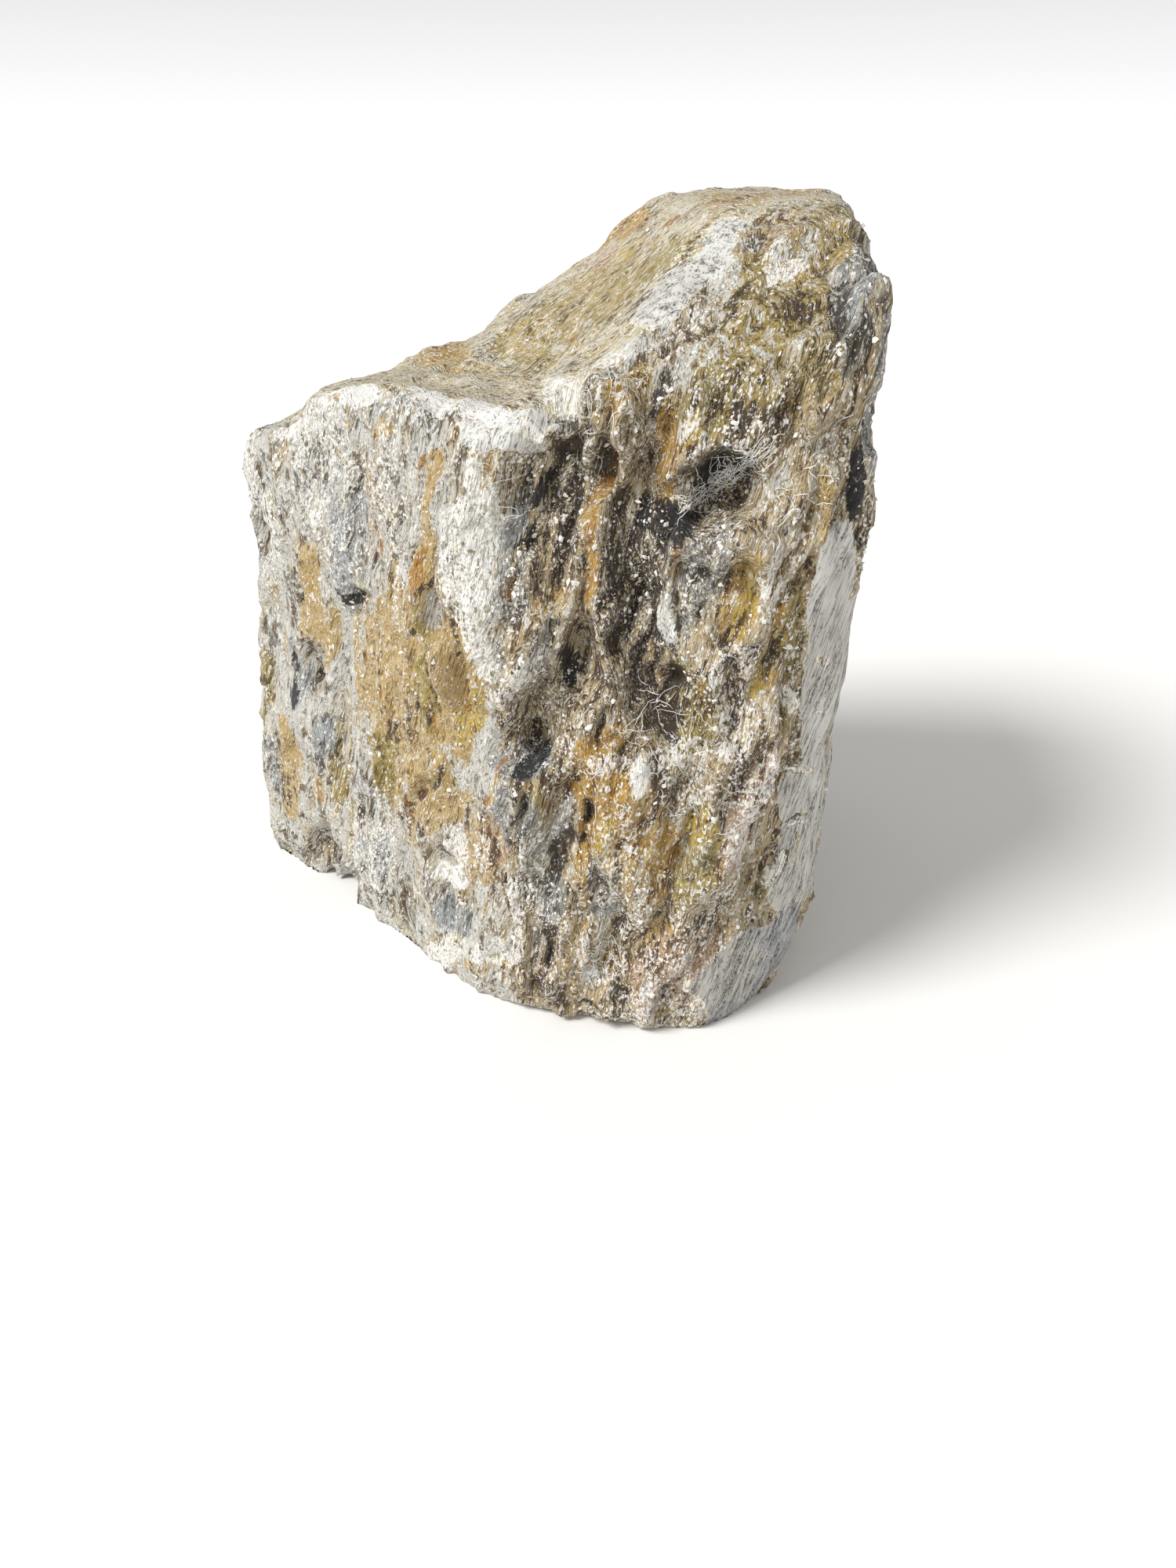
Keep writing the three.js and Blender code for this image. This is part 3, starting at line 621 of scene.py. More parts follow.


# the block

# stains and crusts, and painted shade: at, lean, half length, half width, and how much of each tint; the dark
# brown, black and blue-grey laid in crevices, creases, recesses, pockets, grooves and hollows are painted
# shade, and elsewhere they are the rock's own colour; the block's mesh carries each tint as an attribute,
# which the coats read
stains = {
    # the smooth left side: pale slabs that hang in tongues over golden layers
    "goldenLayers": ((-38, -31, 82), 0, 44, 30, {"ochre": 0.62}),
    "goldenField": ((-19, -53, 94), 4, 28, 13, {"ochre": 1}),
    "fieldOlive": ((-26, -46, 96), 4, 22, 6, {"olive": 0.5}),
    "fieldYellow": ((-14, -55, 88), 20, 14, 5, {"yellow": 0.6}),
    "goldenFoot": ((-26, -45, 60), 8, 18, 13, {"ochre": 0.75}),
    "oliveFoot": ((-59, -7, 50), 0, 18, 8, {"olive": 0.5}),
    "leftStreak": ((-67, 3, 98), 8, 20, 7, {"ochre": 0.9}),
    "leftTan": ((-59, -3, 88), 8, 14, 5, {"ochre": 0.7}),
    "leftCrack": ((-64, 1, 132), 8, 22, 1.5, {"umberAndShade": 0.6, "rust": 0.3}),
    "leftRose": ((-42, -17, 128), 6, 20, 4, {"rose": 0.4}),
    "cornerTan": ((-82, 10, 36), 0, 22, 7, {"ochre": 0.7}),
    "cornerOlive": ((-88, 20, 58), 0, 22, 4, {"olive": 0.6}),
    "cornerSlate": ((-90, 18, 34), 0, 14, 3.5, {"slateAndShade": 0.7}),
    "leftMargin": ((-84, 20, 112), 0, 30, 8, {"powder": 0.5, "slateAndShade": 0.35}),
    "upperPale": ((-56, -3, 137), 30, 24, 20, {"powder": 0.6, "slateAndShade": 0.4}),
    "tongue": ((-52, -11, 118), 10, 24, 7, {"powder": 0.4, "slateAndShade": 0.7}),
    "tonguePit": ((-52, -10, 102), 70, 5, 2.4, {"blackSpotsAndShadow": 0.9}),
    "tongueBead": ((-55, -8, 104), 40, 3, 2, {"blackSpotsAndShadow": 0.8}),
    "tongueDusk": ((-49, -14, 114), 10, 6, 2.4, {"slateAndShade": 0.8, "umberAndShade": 0.4}),
    "middlePale": ((-38, -22, 138), 0, 24, 9, {"powder": 0.5}),
    "middleTongue": ((-36, -28, 110), 6, 24, 3, {"powder": 0.6}),
    "tongueEdge": ((-46, -17, 116), 12, 24, 1.6, {"umberAndShade": 0.55}),
    "middleStain": ((-41, -18, 121), 4, 4, 1.4, {"rust": 1}),
    "middleNick": ((-45, -15, 141), 30, 4, 2, {"umberAndShade": 0.8}),
    "crackOchre": ((-25, -43, 130), -2, 28, 5.5, {"ochre": 0.9}),
    "crackTop": ((-24, -37, 148), 20, 9, 6, {"ochre": 0.5, "rust": 0.35}),
    "crackRust": ((-27, -44, 119), 5, 17, 2.2, {"rust": 0.8, "gold": 0.6}),
    "crackDark": ((-25, -46, 117), 14, 14, 1.3, {"umberAndShade": 1}),
    "crackFoot": ((-32, -37, 103), 60, 3, 1.6, {"umberAndShade": 1}),
    "rustSpotA": ((-45, -25, 78), 0, 4, 1.4, {"rust": 0.8}),
    "rustSpotB": ((-24, -46, 80), 0, 4, 1.3, {"rust": 0.9}),
    "rustSpotC": ((-16, -51, 88), 0, 5, 1.3, {"rust": 0.7}),
    "rustSpotD": ((-36, -37, 46), 0, 6, 1.5, {"rust": 0.9}),
    "rustSpotE": ((-69, 4, 88), 0, 10, 1.4, {"rust": 0.5}),
    "goldenCrack": ((-22, -48, 92), -10, 9, 1, {"umberAndShade": 0.8}),
    "bulge": ((-12, -53, 134), -4, 25, 9, {"powder": 0.9, "chalk": 0.3}),
    "bulgeFoot": ((-10, -58, 110), -16, 18, 4, {"powder": 0.9, "chalk": 0.5}),
    # painted shadow: blue-grey cast by the bulge onto the recess beside it
    "bulgeShade": ((-4, -52, 138), 10, 12, 4, {"slateAndShade": 0.8}),
    "highBead": ((-75, 9, 75), 0, 4.5, 3, {"blackSpotsAndShadow": 1}),
    "lowBead": ((-77, 8, 64), 0, 4.5, 3, {"blackSpotsAndShadow": 1}),
    "beadSmoke": ((-75, 8, 71), 0, 13, 5, {"slateAndShade": 0.8}),
    "footSmoke": ((-67, -2, 51), 0, 11, 5, {"slateAndShade": 0.9}),
    "footBead": ((-68, -2, 50), 0, 3, 2, {"blackSpotsAndShadow": 0.6}),
    "footRust": ((-70, -2, 35), 0, 6, 3, {"rust": 0.5, "ochre": 0.6}),
    "slantCrack": ((-26, -45, 62), 25, 8, 2, {"umberAndShade": 0.9}),
    "slantPit": ((-32, -42, 53), 60, 4, 2.5, {"umberAndShade": 1}),
    "slantRust": ((-31, -41, 54), 0, 7, 3, {"rust": 0.6}),
    "lowOchre": ((-34, -41, 50), 4, 15, 6, {"ochre": 0.7, "gold": 0.3}),
    "lowOlive": ((-45, -24, 60), 0, 16, 7, {"olive": 0.65, "ochre": 0.3}),
    "paleFootSlab": ((-47, -22, 32), 15, 24, 12, {"powder": 0.5, "slateAndShade": 0.45}),
    "chalkVee": ((-25, -46, 34), 70, 13, 4.5, {"chalk": 0.9}),
    "chalkVeeStem": ((-20, -52, 46), 10, 9, 5, {"powder": 0.8}),
    # painted shade: blue-grey and black in the hollow at the left foot
    "smokyHollow": ((-27, -48, 21), 70, 10, 7, {"slateAndShade": 1}),
    "smokyHeart": ((-33, -44, 22), 30, 4, 3, {"blackSpotsAndShadow": 0.5}),
    "chalkFoot": ((-28, -49, 8), 50, 15, 5, {"powder": 0.9, "chalk": 0.4}),
    "footTan": ((-19, -60, 9), 70, 15, 3, {"ochre": 0.4}),
    "chalkFootRight": ((-11, -62, 22), 60, 16, 5, {"powder": 0.8}),
    "tanKnob": ((-9, -63, 56), 20, 12, 9, {"ochre": 0.55, "rose": 0.5}),
    "lowTan": ((-14, -58, 50), 0, 16, 8, {"ochre": 0.6, "rose": 0.3}),
    "knobPit": ((-12, -62, 64), 70, 5, 2.6, {"umberAndShade": 0.9, "rust": 0.7}),
    "knobChalk": ((-14, -60, 48), 0, 9, 4, {"powder": 0.6}),
    # the rim and the bevel under it
    "rimChalk": ((-16, -35, 164), 78, 36, 5.5, {"chalk": 1}),
    "rimLeftChalk": ((-50, -2, 158), 62, 24, 5.5, {"chalk": 1}),
    "rimCorner": ((-74, 14, 146), 60, 14, 4, {"chalk": 0.6}),
    "rimCrest": ((8, -42, 168), 75, 14, 5, {"chalk": 0.7, "powder": 0.5}),
    "rimShoulder": ((22, -44, 177), 30, 9, 6, {"chalk": 0.6, "powder": 0.5}),
    "bevelBlue": ((-30, -24, 158), 74, 22, 5, {"slateAndShade": 0.5}),
    "bevelPale": ((-22, -30, 159), 76, 30, 5, {"powder": 0.6, "slateAndShade": 0.3}),
    "bevelChalk": ((-55, 0, 152), 62, 18, 6, {"powder": 0.7}),
    "bevelSpot": ((-13, -42, 160), 0, 2.5, 1.6, {"rust": 0.8}),
    "bevelTan": ((-36, -20, 153), 60, 12, 4, {"ochre": 0.5}),
    # the scoop and the peak
    "scoopBed": ((10, 12, 174), 55, 42, 30, {"olive": 0.4, "ochre": 0.55}),
    "scoopFar": ((-28, 52, 158), 72, 36, 12, {"ochre": 0.6}),
    "scoopEdge": ((24, 54, 192), 62, 28, 8, {"ochre": 0.9, "gold": 0.5}),
    "scoopOlive": ((32, -14, 189), 55, 20, 9, {"olive": 0.8}),
    "scoopYellow": ((24, 22, 183), 60, 14, 6, {"yellow": 0.5}),
    "scoopGoldTop": ((19, 34, 185), 62, 12, 6, {"gold": 0.5, "ochre": 0.4}),
    "scoopGoldLeft": ((-30, 53, 159), 62, 14, 8, {"gold": 0.6, "ochre": 0.5}),
    "scoopRustA": ((36, 6, 198), 0, 2.6, 2.2, {"rust": 0.9}),
    "scoopRustB": ((41, -6, 201), 0, 2, 1.7, {"rust": 0.7}),
    "scoopRustC": ((9, 0, 170), 60, 3, 2, {"rust": 0.7}),
    "scoopRose": ((18, 40, 185), 60, 14, 7, {"rose": 0.6}),
    "peakCrust": ((62, -38, 194), 30, 8, 6, {"powder": 0.9, "chalk": 0.3}),
    "peakTan": ((57, -35, 194), 20, 14, 8, {"ochre": 0.5, "olive": 0.4}),
    "peakWarm": ((60, -42, 188), 20, 26, 15, {"ochre": 0.45, "olive": 0.35, "umberAndShade": 0.25}),
    "peakDusk": ((61, -28, 199), 70, 17, 10, {"rose": 0.3, "umberAndShade": 0.55, "ochre": 0.4}),
    "peakCalm": ((62, -50, 176), 0, 34, 22, {"calm": 1}),
    "peakTop": ((58, 0, 206), 80, 22, 16, {"ochre": 0.6, "rose": 0.3}),
    "facetChalk": ((37, -42, 183), 35, 10, 3, {"powder": 0.5}),
    "peakHollow": ((49, -42, 186), 25, 8, 3, {"umberAndShade": 0.9}),
    "peakOlive": ((52, -55, 176), 0, 30, 18, {"olive": 0.42}),
    "peakEdge": ((74, -50, 188), 4, 20, 5, {"slateAndShade": 0.7, "umberAndShade": 0.5}),
    "peakRight": ((71, -29, 200), 0, 16, 10, {"ochre": 0.6, "olive": 0.5, "umberAndShade": 0.3}),
    "peakUmber": ((66, -52, 178), 4, 22, 4, {"umberAndShade": 0.6, "olive": 0.5}),
    # the broken front, upper half
    "rimTan": ((24, -50, 168), 10, 12, 5, {"ochre": 0.7, "powder": 0.3}),
    "notchPocket": ((19, -50, 163), 30, 4, 3, {"gold": 0.7, "umberAndShade": 0.4}),
    # painted shade: dark brown laid down the crevice, where shade falls
    "crevice": ((30, -52, 167), 6, 9, 2, {"umberAndShade": 1}),
    "oliveBrow": ((41, -58, 168), 20, 14, 8, {"olive": 0.9}),
    "browYellow": ((38, -60, 160), 30, 7, 3, {"yellow": 0.9}),
    "creamFlake": ((38, -61, 163), 20, 5, 3, {"powder": 0.6, "gold": 0.4}),
    # painted shade and shadow: dark brown and black laid in the pocket and the recess
    "pocketTop": ((41, -58, 150), 62, 12, 5, {"umberAndShade": 0.8}),
    "pocketBlackLow": ((31, -61, 139), 66, 10, 5.4, {"blackSpotsAndShadow": 1}),
    "pocketBlackHigh": ((43, -60, 149), 62, 13, 4.5, {"blackSpotsAndShadow": 0.9}),
    "recessBrown": ((8, -50, 140), 6, 24, 12, {"umberAndShade": 0.7}),
    "recessTop": ((4, -47, 150), 6, 12, 5, {"umberAndShade": 1}),
    "recessAsh": ((-2, -52, 122), 0, 14, 7, {"slateAndShade": 0.6, "powder": 0.3}),
    "recessBlackA": ((1, -51, 142), 30, 6, 3.2, {"blackSpotsAndShadow": 0.9}),
    "recessBlackB": ((-2, -53, 133), 30, 6, 3.2, {"blackSpotsAndShadow": 0.8}),
    "rustRib": ((27, -51, 144), 2, 22, 3.6, {"gold": 0.9}),
    "rustRibEdge": ((30, -52, 148), 2, 14, 1.4, {"rust": 0.8}),
    # painted shade: dark brown and black down the crease and beside its rib
    "ribShadow": ((29, -57, 122), 2, 24, 3.6, {"umberAndShade": 1}),
    "creaseDark": ((18, -55, 128), 4, 22, 2.6, {"umberAndShade": 1, "blackSpotsAndShadow": 0.4}),
    "creaseRust": ((14, -52, 133), 4, 20, 3, {"rust": 0.5, "gold": 0.6}),
    "creaseLow": ((38, -67, 101), 6, 7, 3, {"umberAndShade": 1, "olive": 0.8}),
    "creaseMiddle": ((35, -64, 117), 8, 9, 2.6, {"umberAndShade": 1, "blackSpotsAndShadow": 0.45}),
    "creaseHigh": ((32, -59, 132), 4, 8, 2.6, {"umberAndShade": 1, "blackSpotsAndShadow": 0.5}),
    "creaseCalm": ((30, -60, 112), 4, 26, 6, {"calm": 0.8}),
    "tanFlake": ((5, -56, 119), 80, 6, 3.4, {"ochre": 1, "powder": 0.4}),
    "flakeRust": ((-4, -56, 124), 0, 4, 1.6, {"rust": 0.8}),
    "diagonalChalk": ((-3, -65, 101), 40, 16, 3.5, {"powder": 0.8}),
    "ashSlab": ((4, -60, 108), 20, 14, 7, {"slateAndShade": 0.5}),
    # painted shadow: black in the side pocket
    "sideBlack": ((8, -58, 103), 8, 10, 3.4, {"blackSpotsAndShadow": 1}),
    "centreBrown": ((26, -62, 108), 4, 26, 15, {"umberAndShade": 0.65}),
    "centreUmber": ((24, -60, 126), 4, 20, 8, {"umberAndShade": 0.75}),
    "centreOlive": ((41, -70, 95), 10, 12, 8, {"olive": 1}),
    "oliveRib": ((36, -66, 103), 8, 10, 3, {"yellow": 0.7, "olive": 0.8}),
    # painted shade: dark brown at the foot of the crevice
    "centreDark": ((33, -62, 100), 4, 18, 3.6, {"umberAndShade": 1}),
    "centreRust": ((44, -72, 103), 0, 5, 1.4, {"rust": 0.7}),
    "centreChalk": ((33, -64, 118), -20, 8, 3.4, {"chalk": 0.9}),
    "ribRust": ((31, -57, 129), 0, 9, 1.6, {"rust": 0.8}),
    "greyPatch": ((43, -68, 130), 10, 18, 9, {"slateAndShade": 0.6}),
    "patchPit": ((44, -69, 131), 30, 4, 2, {"umberAndShade": 1}),
    "cheekOchre": ((54, -71, 131), 6, 14, 4, {"ochre": 0.7, "gold": 0.3}),
    "cheekYellow": ((55, -71, 128), 6, 10, 3, {"yellow": 0.6}),
    "cheekSmear": ((60, -70, 110), 25, 13, 4, {"yellow": 0.8, "olive": 0.6}),
    "cheekCalm": ((64, -66, 140), 0, 26, 7, {"calm": 0.8}),
    "cheekPale": ((60, -68, 138), 4, 18, 6, {"powder": 0.5}),
    "cheekGold": ((60, -69, 112), 8, 13, 3.2, {"gold": 0.9}),
    "cheekOlive": ((66, -68, 116), 0, 14, 4, {"olive": 0.8}),
    "creamSliver": ((71, -66, 149), 3, 12, 1.6, {"ochre": 1}),
    "sliverRust": ((71, -65, 138), 4, 5, 1.6, {"rust": 1}),
    "cheekBlackHigh": ((78, -58, 150), 3, 9, 2.4, {"blackSpotsAndShadow": 1}),
    "cheekBlackLow": ((80, -57, 136), 3, 6, 2.4, {"blackSpotsAndShadow": 0.8}),
    "edgeStreaks": ((79, -50, 168), 4, 24, 7, {"umberAndShade": 0.5, "slateAndShade": 0.7}),
    "edgePitA": ((78, -52, 172), 4, 5, 1.2, {"blackSpotsAndShadow": 0.9}),
    "edgePitB": ((76, -54, 158), 4, 6, 1.2, {"blackSpotsAndShadow": 0.8}),
    # the broken front, lower half
    "crumbLedge": ((36, -72, 86), 76, 22, 4, {"powder": 0.8}),
    "crumbKnot": ((30, -74, 81), -20, 7, 4, {"chalk": 0.9}),
    "crumbSlope": ((50, -70, 100), 0, 15, 8, {"powder": 0.55}),
    "goldBand": ((19, -72, 75), 6, 19, 8, {"gold": 1}),
    "goldBandFoot": ((17, -71, 52), 8, 14, 5, {"gold": 0.9}),
    "bandCalm": ((20, -72, 68), 6, 24, 8, {"calm": 0.8}),
    "bellyGold": ((27, -74, 66), 4, 20, 13, {"ochre": 0.9, "gold": 0.45}),
    "goldRust": ((24, -72, 80), 4, 10, 1.8, {"umberAndShade": 0.5}),
    # painted shade: blue-grey and black in the hollow under the ledge
    "blueHollow": ((-2, -59, 80), 76, 11, 5, {"slateAndShade": 1}),
    "blueHollowPit": ((1, -56, 82), 40, 8, 3, {"blackSpotsAndShadow": 0.9}),
    "oliveKnob": ((0, -66, 68), 0, 9, 7, {"olive": 0.5, "gold": 0.3}),
    "groovePale": ((8, -68, 62), 20, 12, 4, {"slateAndShade": 0.6, "powder": 0.4}),
    # painted shade: dark brown and black laid in the groove
    "grooveDark": ((10, -68, 56), 22, 20, 3, {"umberAndShade": 1, "blackSpotsAndShadow": 0.4}),
    "grooveFoot": ((4, -71, 26), 4, 13, 6, {"umberAndShade": 0.8, "rose": 0.4}),
    "bellyRust": ((-8, -64, 74), 0, 5, 2, {"rust": 0.7}),
    "bellyBlue": ((6, -69, 40), 10, 14, 4, {"slateAndShade": 0.8, "chalk": 0.3}),
    "bellyAsh": ((2, -66, 48), 10, 24, 9, {"slateAndShade": 0.5, "powder": 0.5}),
    "bellyDust": ((32, -74, 44), 0, 44, 32, {"powder": 0.3}),
    "bellyPale": ((-4, -66, 38), 10, 16, 7, {"powder": 0.85}),
    "bellySlate": ((-2, -66, 62), 0, 14, 8, {"slateAndShade": 0.7}),
    "fibreLump": ((16, -73, 19), 10, 9, 4.4, {"chalk": 0.6, "slateAndShade": 0.6}),
    # painted shadow: black in the gap under the fibre lump
    "lumpGap": ((15, -75, 9), 80, 6, 1.6, {"blackSpotsAndShadow": 1}),
    "lumpSmoke": ((19, -71, 44), 0, 14, 4, {"slateAndShade": 0.7, "powder": 0.4}),
    "yellowPatch": ((44, -74, 69), 35, 9, 4, {"yellow": 1}),
    "oliveStripe": ((43, -75, 56), 8, 24, 6, {"olive": 1}),
    "stripeCalm": ((43, -75, 58), 8, 26, 6, {"calm": 0.8}),
    "ribRustLow": ((36, -76, 52), 2, 18, 3, {"gold": 1, "rust": 0.3}),
    "ribTan": ((30, -76, 58), 4, 22, 6, {"ochre": 0.6}),
    "yellowRib": ((22, -73, 60), 10, 9, 3, {"yellow": 0.8}),
    "greyCrumbs": ((55, -76, 70), 6, 22, 7, {"rose": 0.7, "powder": 0.6}),
    "stripOchre": ((64, -72, 85), 6, 8, 2.4, {"gold": 0.8}),
    "stripOlive": ((65, -70, 91), 4, 6, 3, {"olive": 0.9}),
    "pinkFoot": ((34, -78, 20), 0, 17, 13, {"rose": 0.6, "powder": 0.35}),
    "footOchre": ((36, -77, 32), 20, 9, 6, {"ochre": 0.7, "powder": 0.3}),
    "footPink": ((44, -76, 22), 0, 20, 12, {"rose": 0.6, "powder": 0.3}),
    "footGlow": ((34, -76, 22), 0, 22, 34, {"ochre": 0.4, "powder": 0.35}),
    "footPowder": ((38, -76, 14), 80, 26, 12, {"powder": 0.5}),
    "footUmber": ((24, -74, 30), 0, 14, 2.4, {"umberAndShade": 0.8}),
    "footSlate": ((58, -70, 20), 60, 18, 12, {"slateAndShade": 0.6}),
    "footSlatePit": ((65, -66, 16), 20, 8, 2.6, {"blackSpotsAndShadow": 0.5}),
    "footDark": ((70, -62, 10), 40, 8, 3, {"umberAndShade": 0.7}),
    "footCrush": ((56, -70, 26), 40, 7, 3, {"powder": 0.9}),
    "footLine": ((64, -66, 20), 105, 5, 1, {"chalk": 0.9}),
    "stripChip": ((64, -70, 90), 0, 7, 3, {"umberAndShade": 0.6, "olive": 0.9}),
    "stripDark": ((63, -68, 42), 0, 6, 4, {"umberAndShade": 0.6, "olive": 0.8}),
    "stripCrushHigh": ((65, -66, 99), 20, 6, 3, {"powder": 1}),
    "stripCrush": ((66, -67, 46), 30, 5, 3, {"powder": 1}),
    "stripFlake": ((75, -60, 107), 120, 4, 2, {"powder": 0.8, "ochre": 0.6}),
    "stripCrack": ((71, -62, 60), 98, 9, 0.9, {"umberAndShade": 1}),
    "stripLineA": ((70, -63, 76), 115, 9, 1, {"chalk": 1}),
    "stripLineB": ((71, -62, 57), 112, 7, 1, {"chalk": 1}),
    "stripLineC": ((73, -60, 93), 118, 5, 1.2, {"chalk": 0.9}),
    "stripGreen": ((69, -63, 50), 0, 6, 4, {"olive": 0.6}),
    # the back and the sides, in the same way
    "backField": ((-20, 76, 100), 10, 60, 34, {"ochre": 0.6}),
    "backPale": ((30, 78, 130), 8, 50, 22, {"powder": 0.55, "slateAndShade": 0.4}),
    "backOlive": ((55, 70, 60), -10, 34, 20, {"olive": 0.7}),
    "backSmoke": ((-10, 78, 40), 60, 24, 12, {"slateAndShade": 0.7}),
    "backRust": ((4, 78, 92), 6, 30, 2.2, {"rust": 0.9, "gold": 0.5}),
    "backCrack": ((10, 78, 88), 8, 24, 1.4, {"umberAndShade": 1}),
    "backPit": ((-38, 76, 66), 40, 6, 3, {"blackSpotsAndShadow": 0.9}),
    "backChalk": ((20, 76, 22), 75, 26, 6, {"powder": 0.9}),
    "backGold": ((-48, 70, 128), 10, 20, 6, {"gold": 0.8}),
    "sideTan": ((-90, 46, 96), 0, 44, 20, {"ochre": 0.55}),
    "sidePale": ((-92, 36, 130), 0, 22, 16, {"powder": 0.6, "slateAndShade": 0.4}),
    "sideSmoke": ((-90, 56, 44), 20, 20, 10, {"slateAndShade": 0.8}),
    "sideRust": ((-92, 42, 74), 4, 18, 1.8, {"rust": 0.9}),
    "sidePit": ((-91, 48, 58), 30, 4, 2.4, {"blackSpotsAndShadow": 0.9}),
    "rightOlive": ((84, 20, 110), 6, 46, 16, {"olive": 0.7}),
    "rightField": ((84, -10, 80), 4, 56, 18, {"ochre": 0.5, "umberAndShade": 0.4}),
    "rightPale": ((82, 44, 150), 10, 34, 14, {"powder": 0.6}),
    "rightSlate": ((84, -28, 60), 0, 40, 12, {"slateAndShade": 0.6}),
    "rightUmber": ((84, 8, 130), 6, 34, 3, {"umberAndShade": 1}),
    "rightRust": ((84, 34, 84), 8, 22, 2.2, {"rust": 0.9}),
    "rightPit": ((84, -4, 56), 30, 6, 3, {"blackSpotsAndShadow": 0.9}),
    "rightChalk": ((82, 52, 60), 70, 18, 6, {"powder": 0.9}),
}
# the dark brown, black and blue-grey tints are partly the rock's own colour and partly painted shade where
# they lie in hollows
tintNames = ["ochre", "gold", "olive", "yellow", "rust", "rose", "powder", "chalk", "slateAndShade", "umberAndShade", "blackSpotsAndShadow",
             "calm"]  # calm takes away crushed grains and frost
stainCrispness = 0.35
# crushed grains lie in clusters on the broken front and in powder: sizes in mm as for the relief
crushed = {
    "clusterSize": (6, 9, 13), "clusterContrast": 1.3, "clusterSeed": 81,
    "onFront": 0.7, "inPowder": 0.5,
    "keptOff": (("facingUp", 0.8), ("ochre", 0.7), ("gold", 0.5), ("olive", 0.4), ("calm", 0.8)),
}


def normalsOf(points, quads):
    # each quad's normal is the cross product of its diagonals, and a corner's is the sum of its quads'
    a, b, c, d = (points[quads[:, k]] for k in range(4))
    across = np.cross(c - a, d - b)
    corners = quads.ravel()
    shared = np.repeat(across, 4, axis=0)
    return unit(np.stack([np.bincount(corners, shared[:, k], len(points)) for k in range(3)], 1))


lattice, quads = boxGrid(blockGrid["segments"])
stonePoints, _, warpedPoints, ragged, masks = stoneSurface(gridDirections(lattice))
stoneNormals = normalsOf(stonePoints, quads)
masks["cavity"] = cavityOf(stonePoints, stoneNormals, quads)
for tint in tintNames:
    masks[tint] = np.zeros(len(stonePoints))
for at, lean, halfLength, halfWidth, amounts in stains.values():
    place = strength(warpedPoints, at, lean, halfLength, halfWidth, stainCrispness, ragged)
    for tint, amount in amounts.items():
        masks[tint] = np.maximum(masks[tint], amount * place)
clusters = softNoise(warpedPoints @ grainAxes.T / crushed["clusterSize"], crushed["clusterSeed"])
clusters = smoothRamp(0.5 + crushed["clusterContrast"] * clusters)
wherever = np.clip(crushed["onFront"] * masks["frontFace"] + crushed["inPowder"] * masks["powder"], 0, 1)
masks["crumbly"] = clusters * wherever * (1 - masks["scraped"])
for mask, share in crushed["keptOff"]:
    masks["crumbly"] *= 1 - share * masks[mask]
block = makeMesh("soapstoneBlock", stonePoints, quads, masks, smooth=True)
block.data.materials.append(rawSoapstone())
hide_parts(blockNode)
print("block made,", 2 * len(quads), "triangles")


# crumbs
crumbPile = {
    "count": 6400, "seed": 5,
    # how likely a crumb sits at a point, and how much less on the top; none lies under footClear, in mm
    "anywhere": 0.05, "onFront": 0.1, "crumbly": 1, "inPowder": 0.5, "offTop": 0.9, "footClear": 4,
    "around": 5, "rings": 4,  # segments of each crumb's grid
    "size": (0.22, 1.15), "sizePower": 3.5,  # half its length; a high power makes big crumbs rare
    "flatness": (1.0, 0.75, 0.5), "lumpiness": 0.25,
    "sink": 0.15,  # how far it sinks in, as a share of its size
}


def sphereGrid(around, rings):
    # (sin v cos u, sin v sin u, cos v), with one point at each pole
    u = np.arange(around) * 2 * math.pi / around
    v = np.arange(1, rings) * math.pi / rings
    ring = np.stack([np.outer(np.sin(v), np.cos(u)), np.outer(np.sin(v), np.sin(u)),
                     np.outer(np.cos(v), np.ones(around))], -1).reshape(-1, 3)
    points = np.concatenate([ring, [[0, 0, 1.0], [0, 0, -1.0]]])
    index = np.arange((rings - 1) * around).reshape(rings - 1, around)
    after = np.roll(index, -1, axis=1)
    sides = np.stack([index[:-1], index[1:], after[1:], after[:-1]], -1).reshape(-1, 4)
    top, bottom = len(points) - 2, len(points) - 1
    caps = np.concatenate([
        np.stack([np.full(around, top), index[0], after[0]], 1),
        np.stack([np.full(around, bottom), after[-1], index[-1]], 1)])
    triangles = np.concatenate([sides[:, [0, 1, 2]], sides[:, [0, 2, 3]], caps])
    return points, triangles


def turnsFrom(random, count):
    # random rotations, each the matrix of a unit quaternion (w, x, y, z)
    w, x, y, z = unit(random.normal(size=(count, 4))).T
    return np.stack([
        1 - 2 * (y * y + z * z), 2 * (x * y - z * w), 2 * (x * z + y * w),
        2 * (x * y + z * w), 1 - 2 * (x * x + z * z), 2 * (y * z - x * w),
        2 * (x * z - y * w), 2 * (y * z + x * w), 1 - 2 * (x * x + y * y)], 1).reshape(-1, 3, 3)


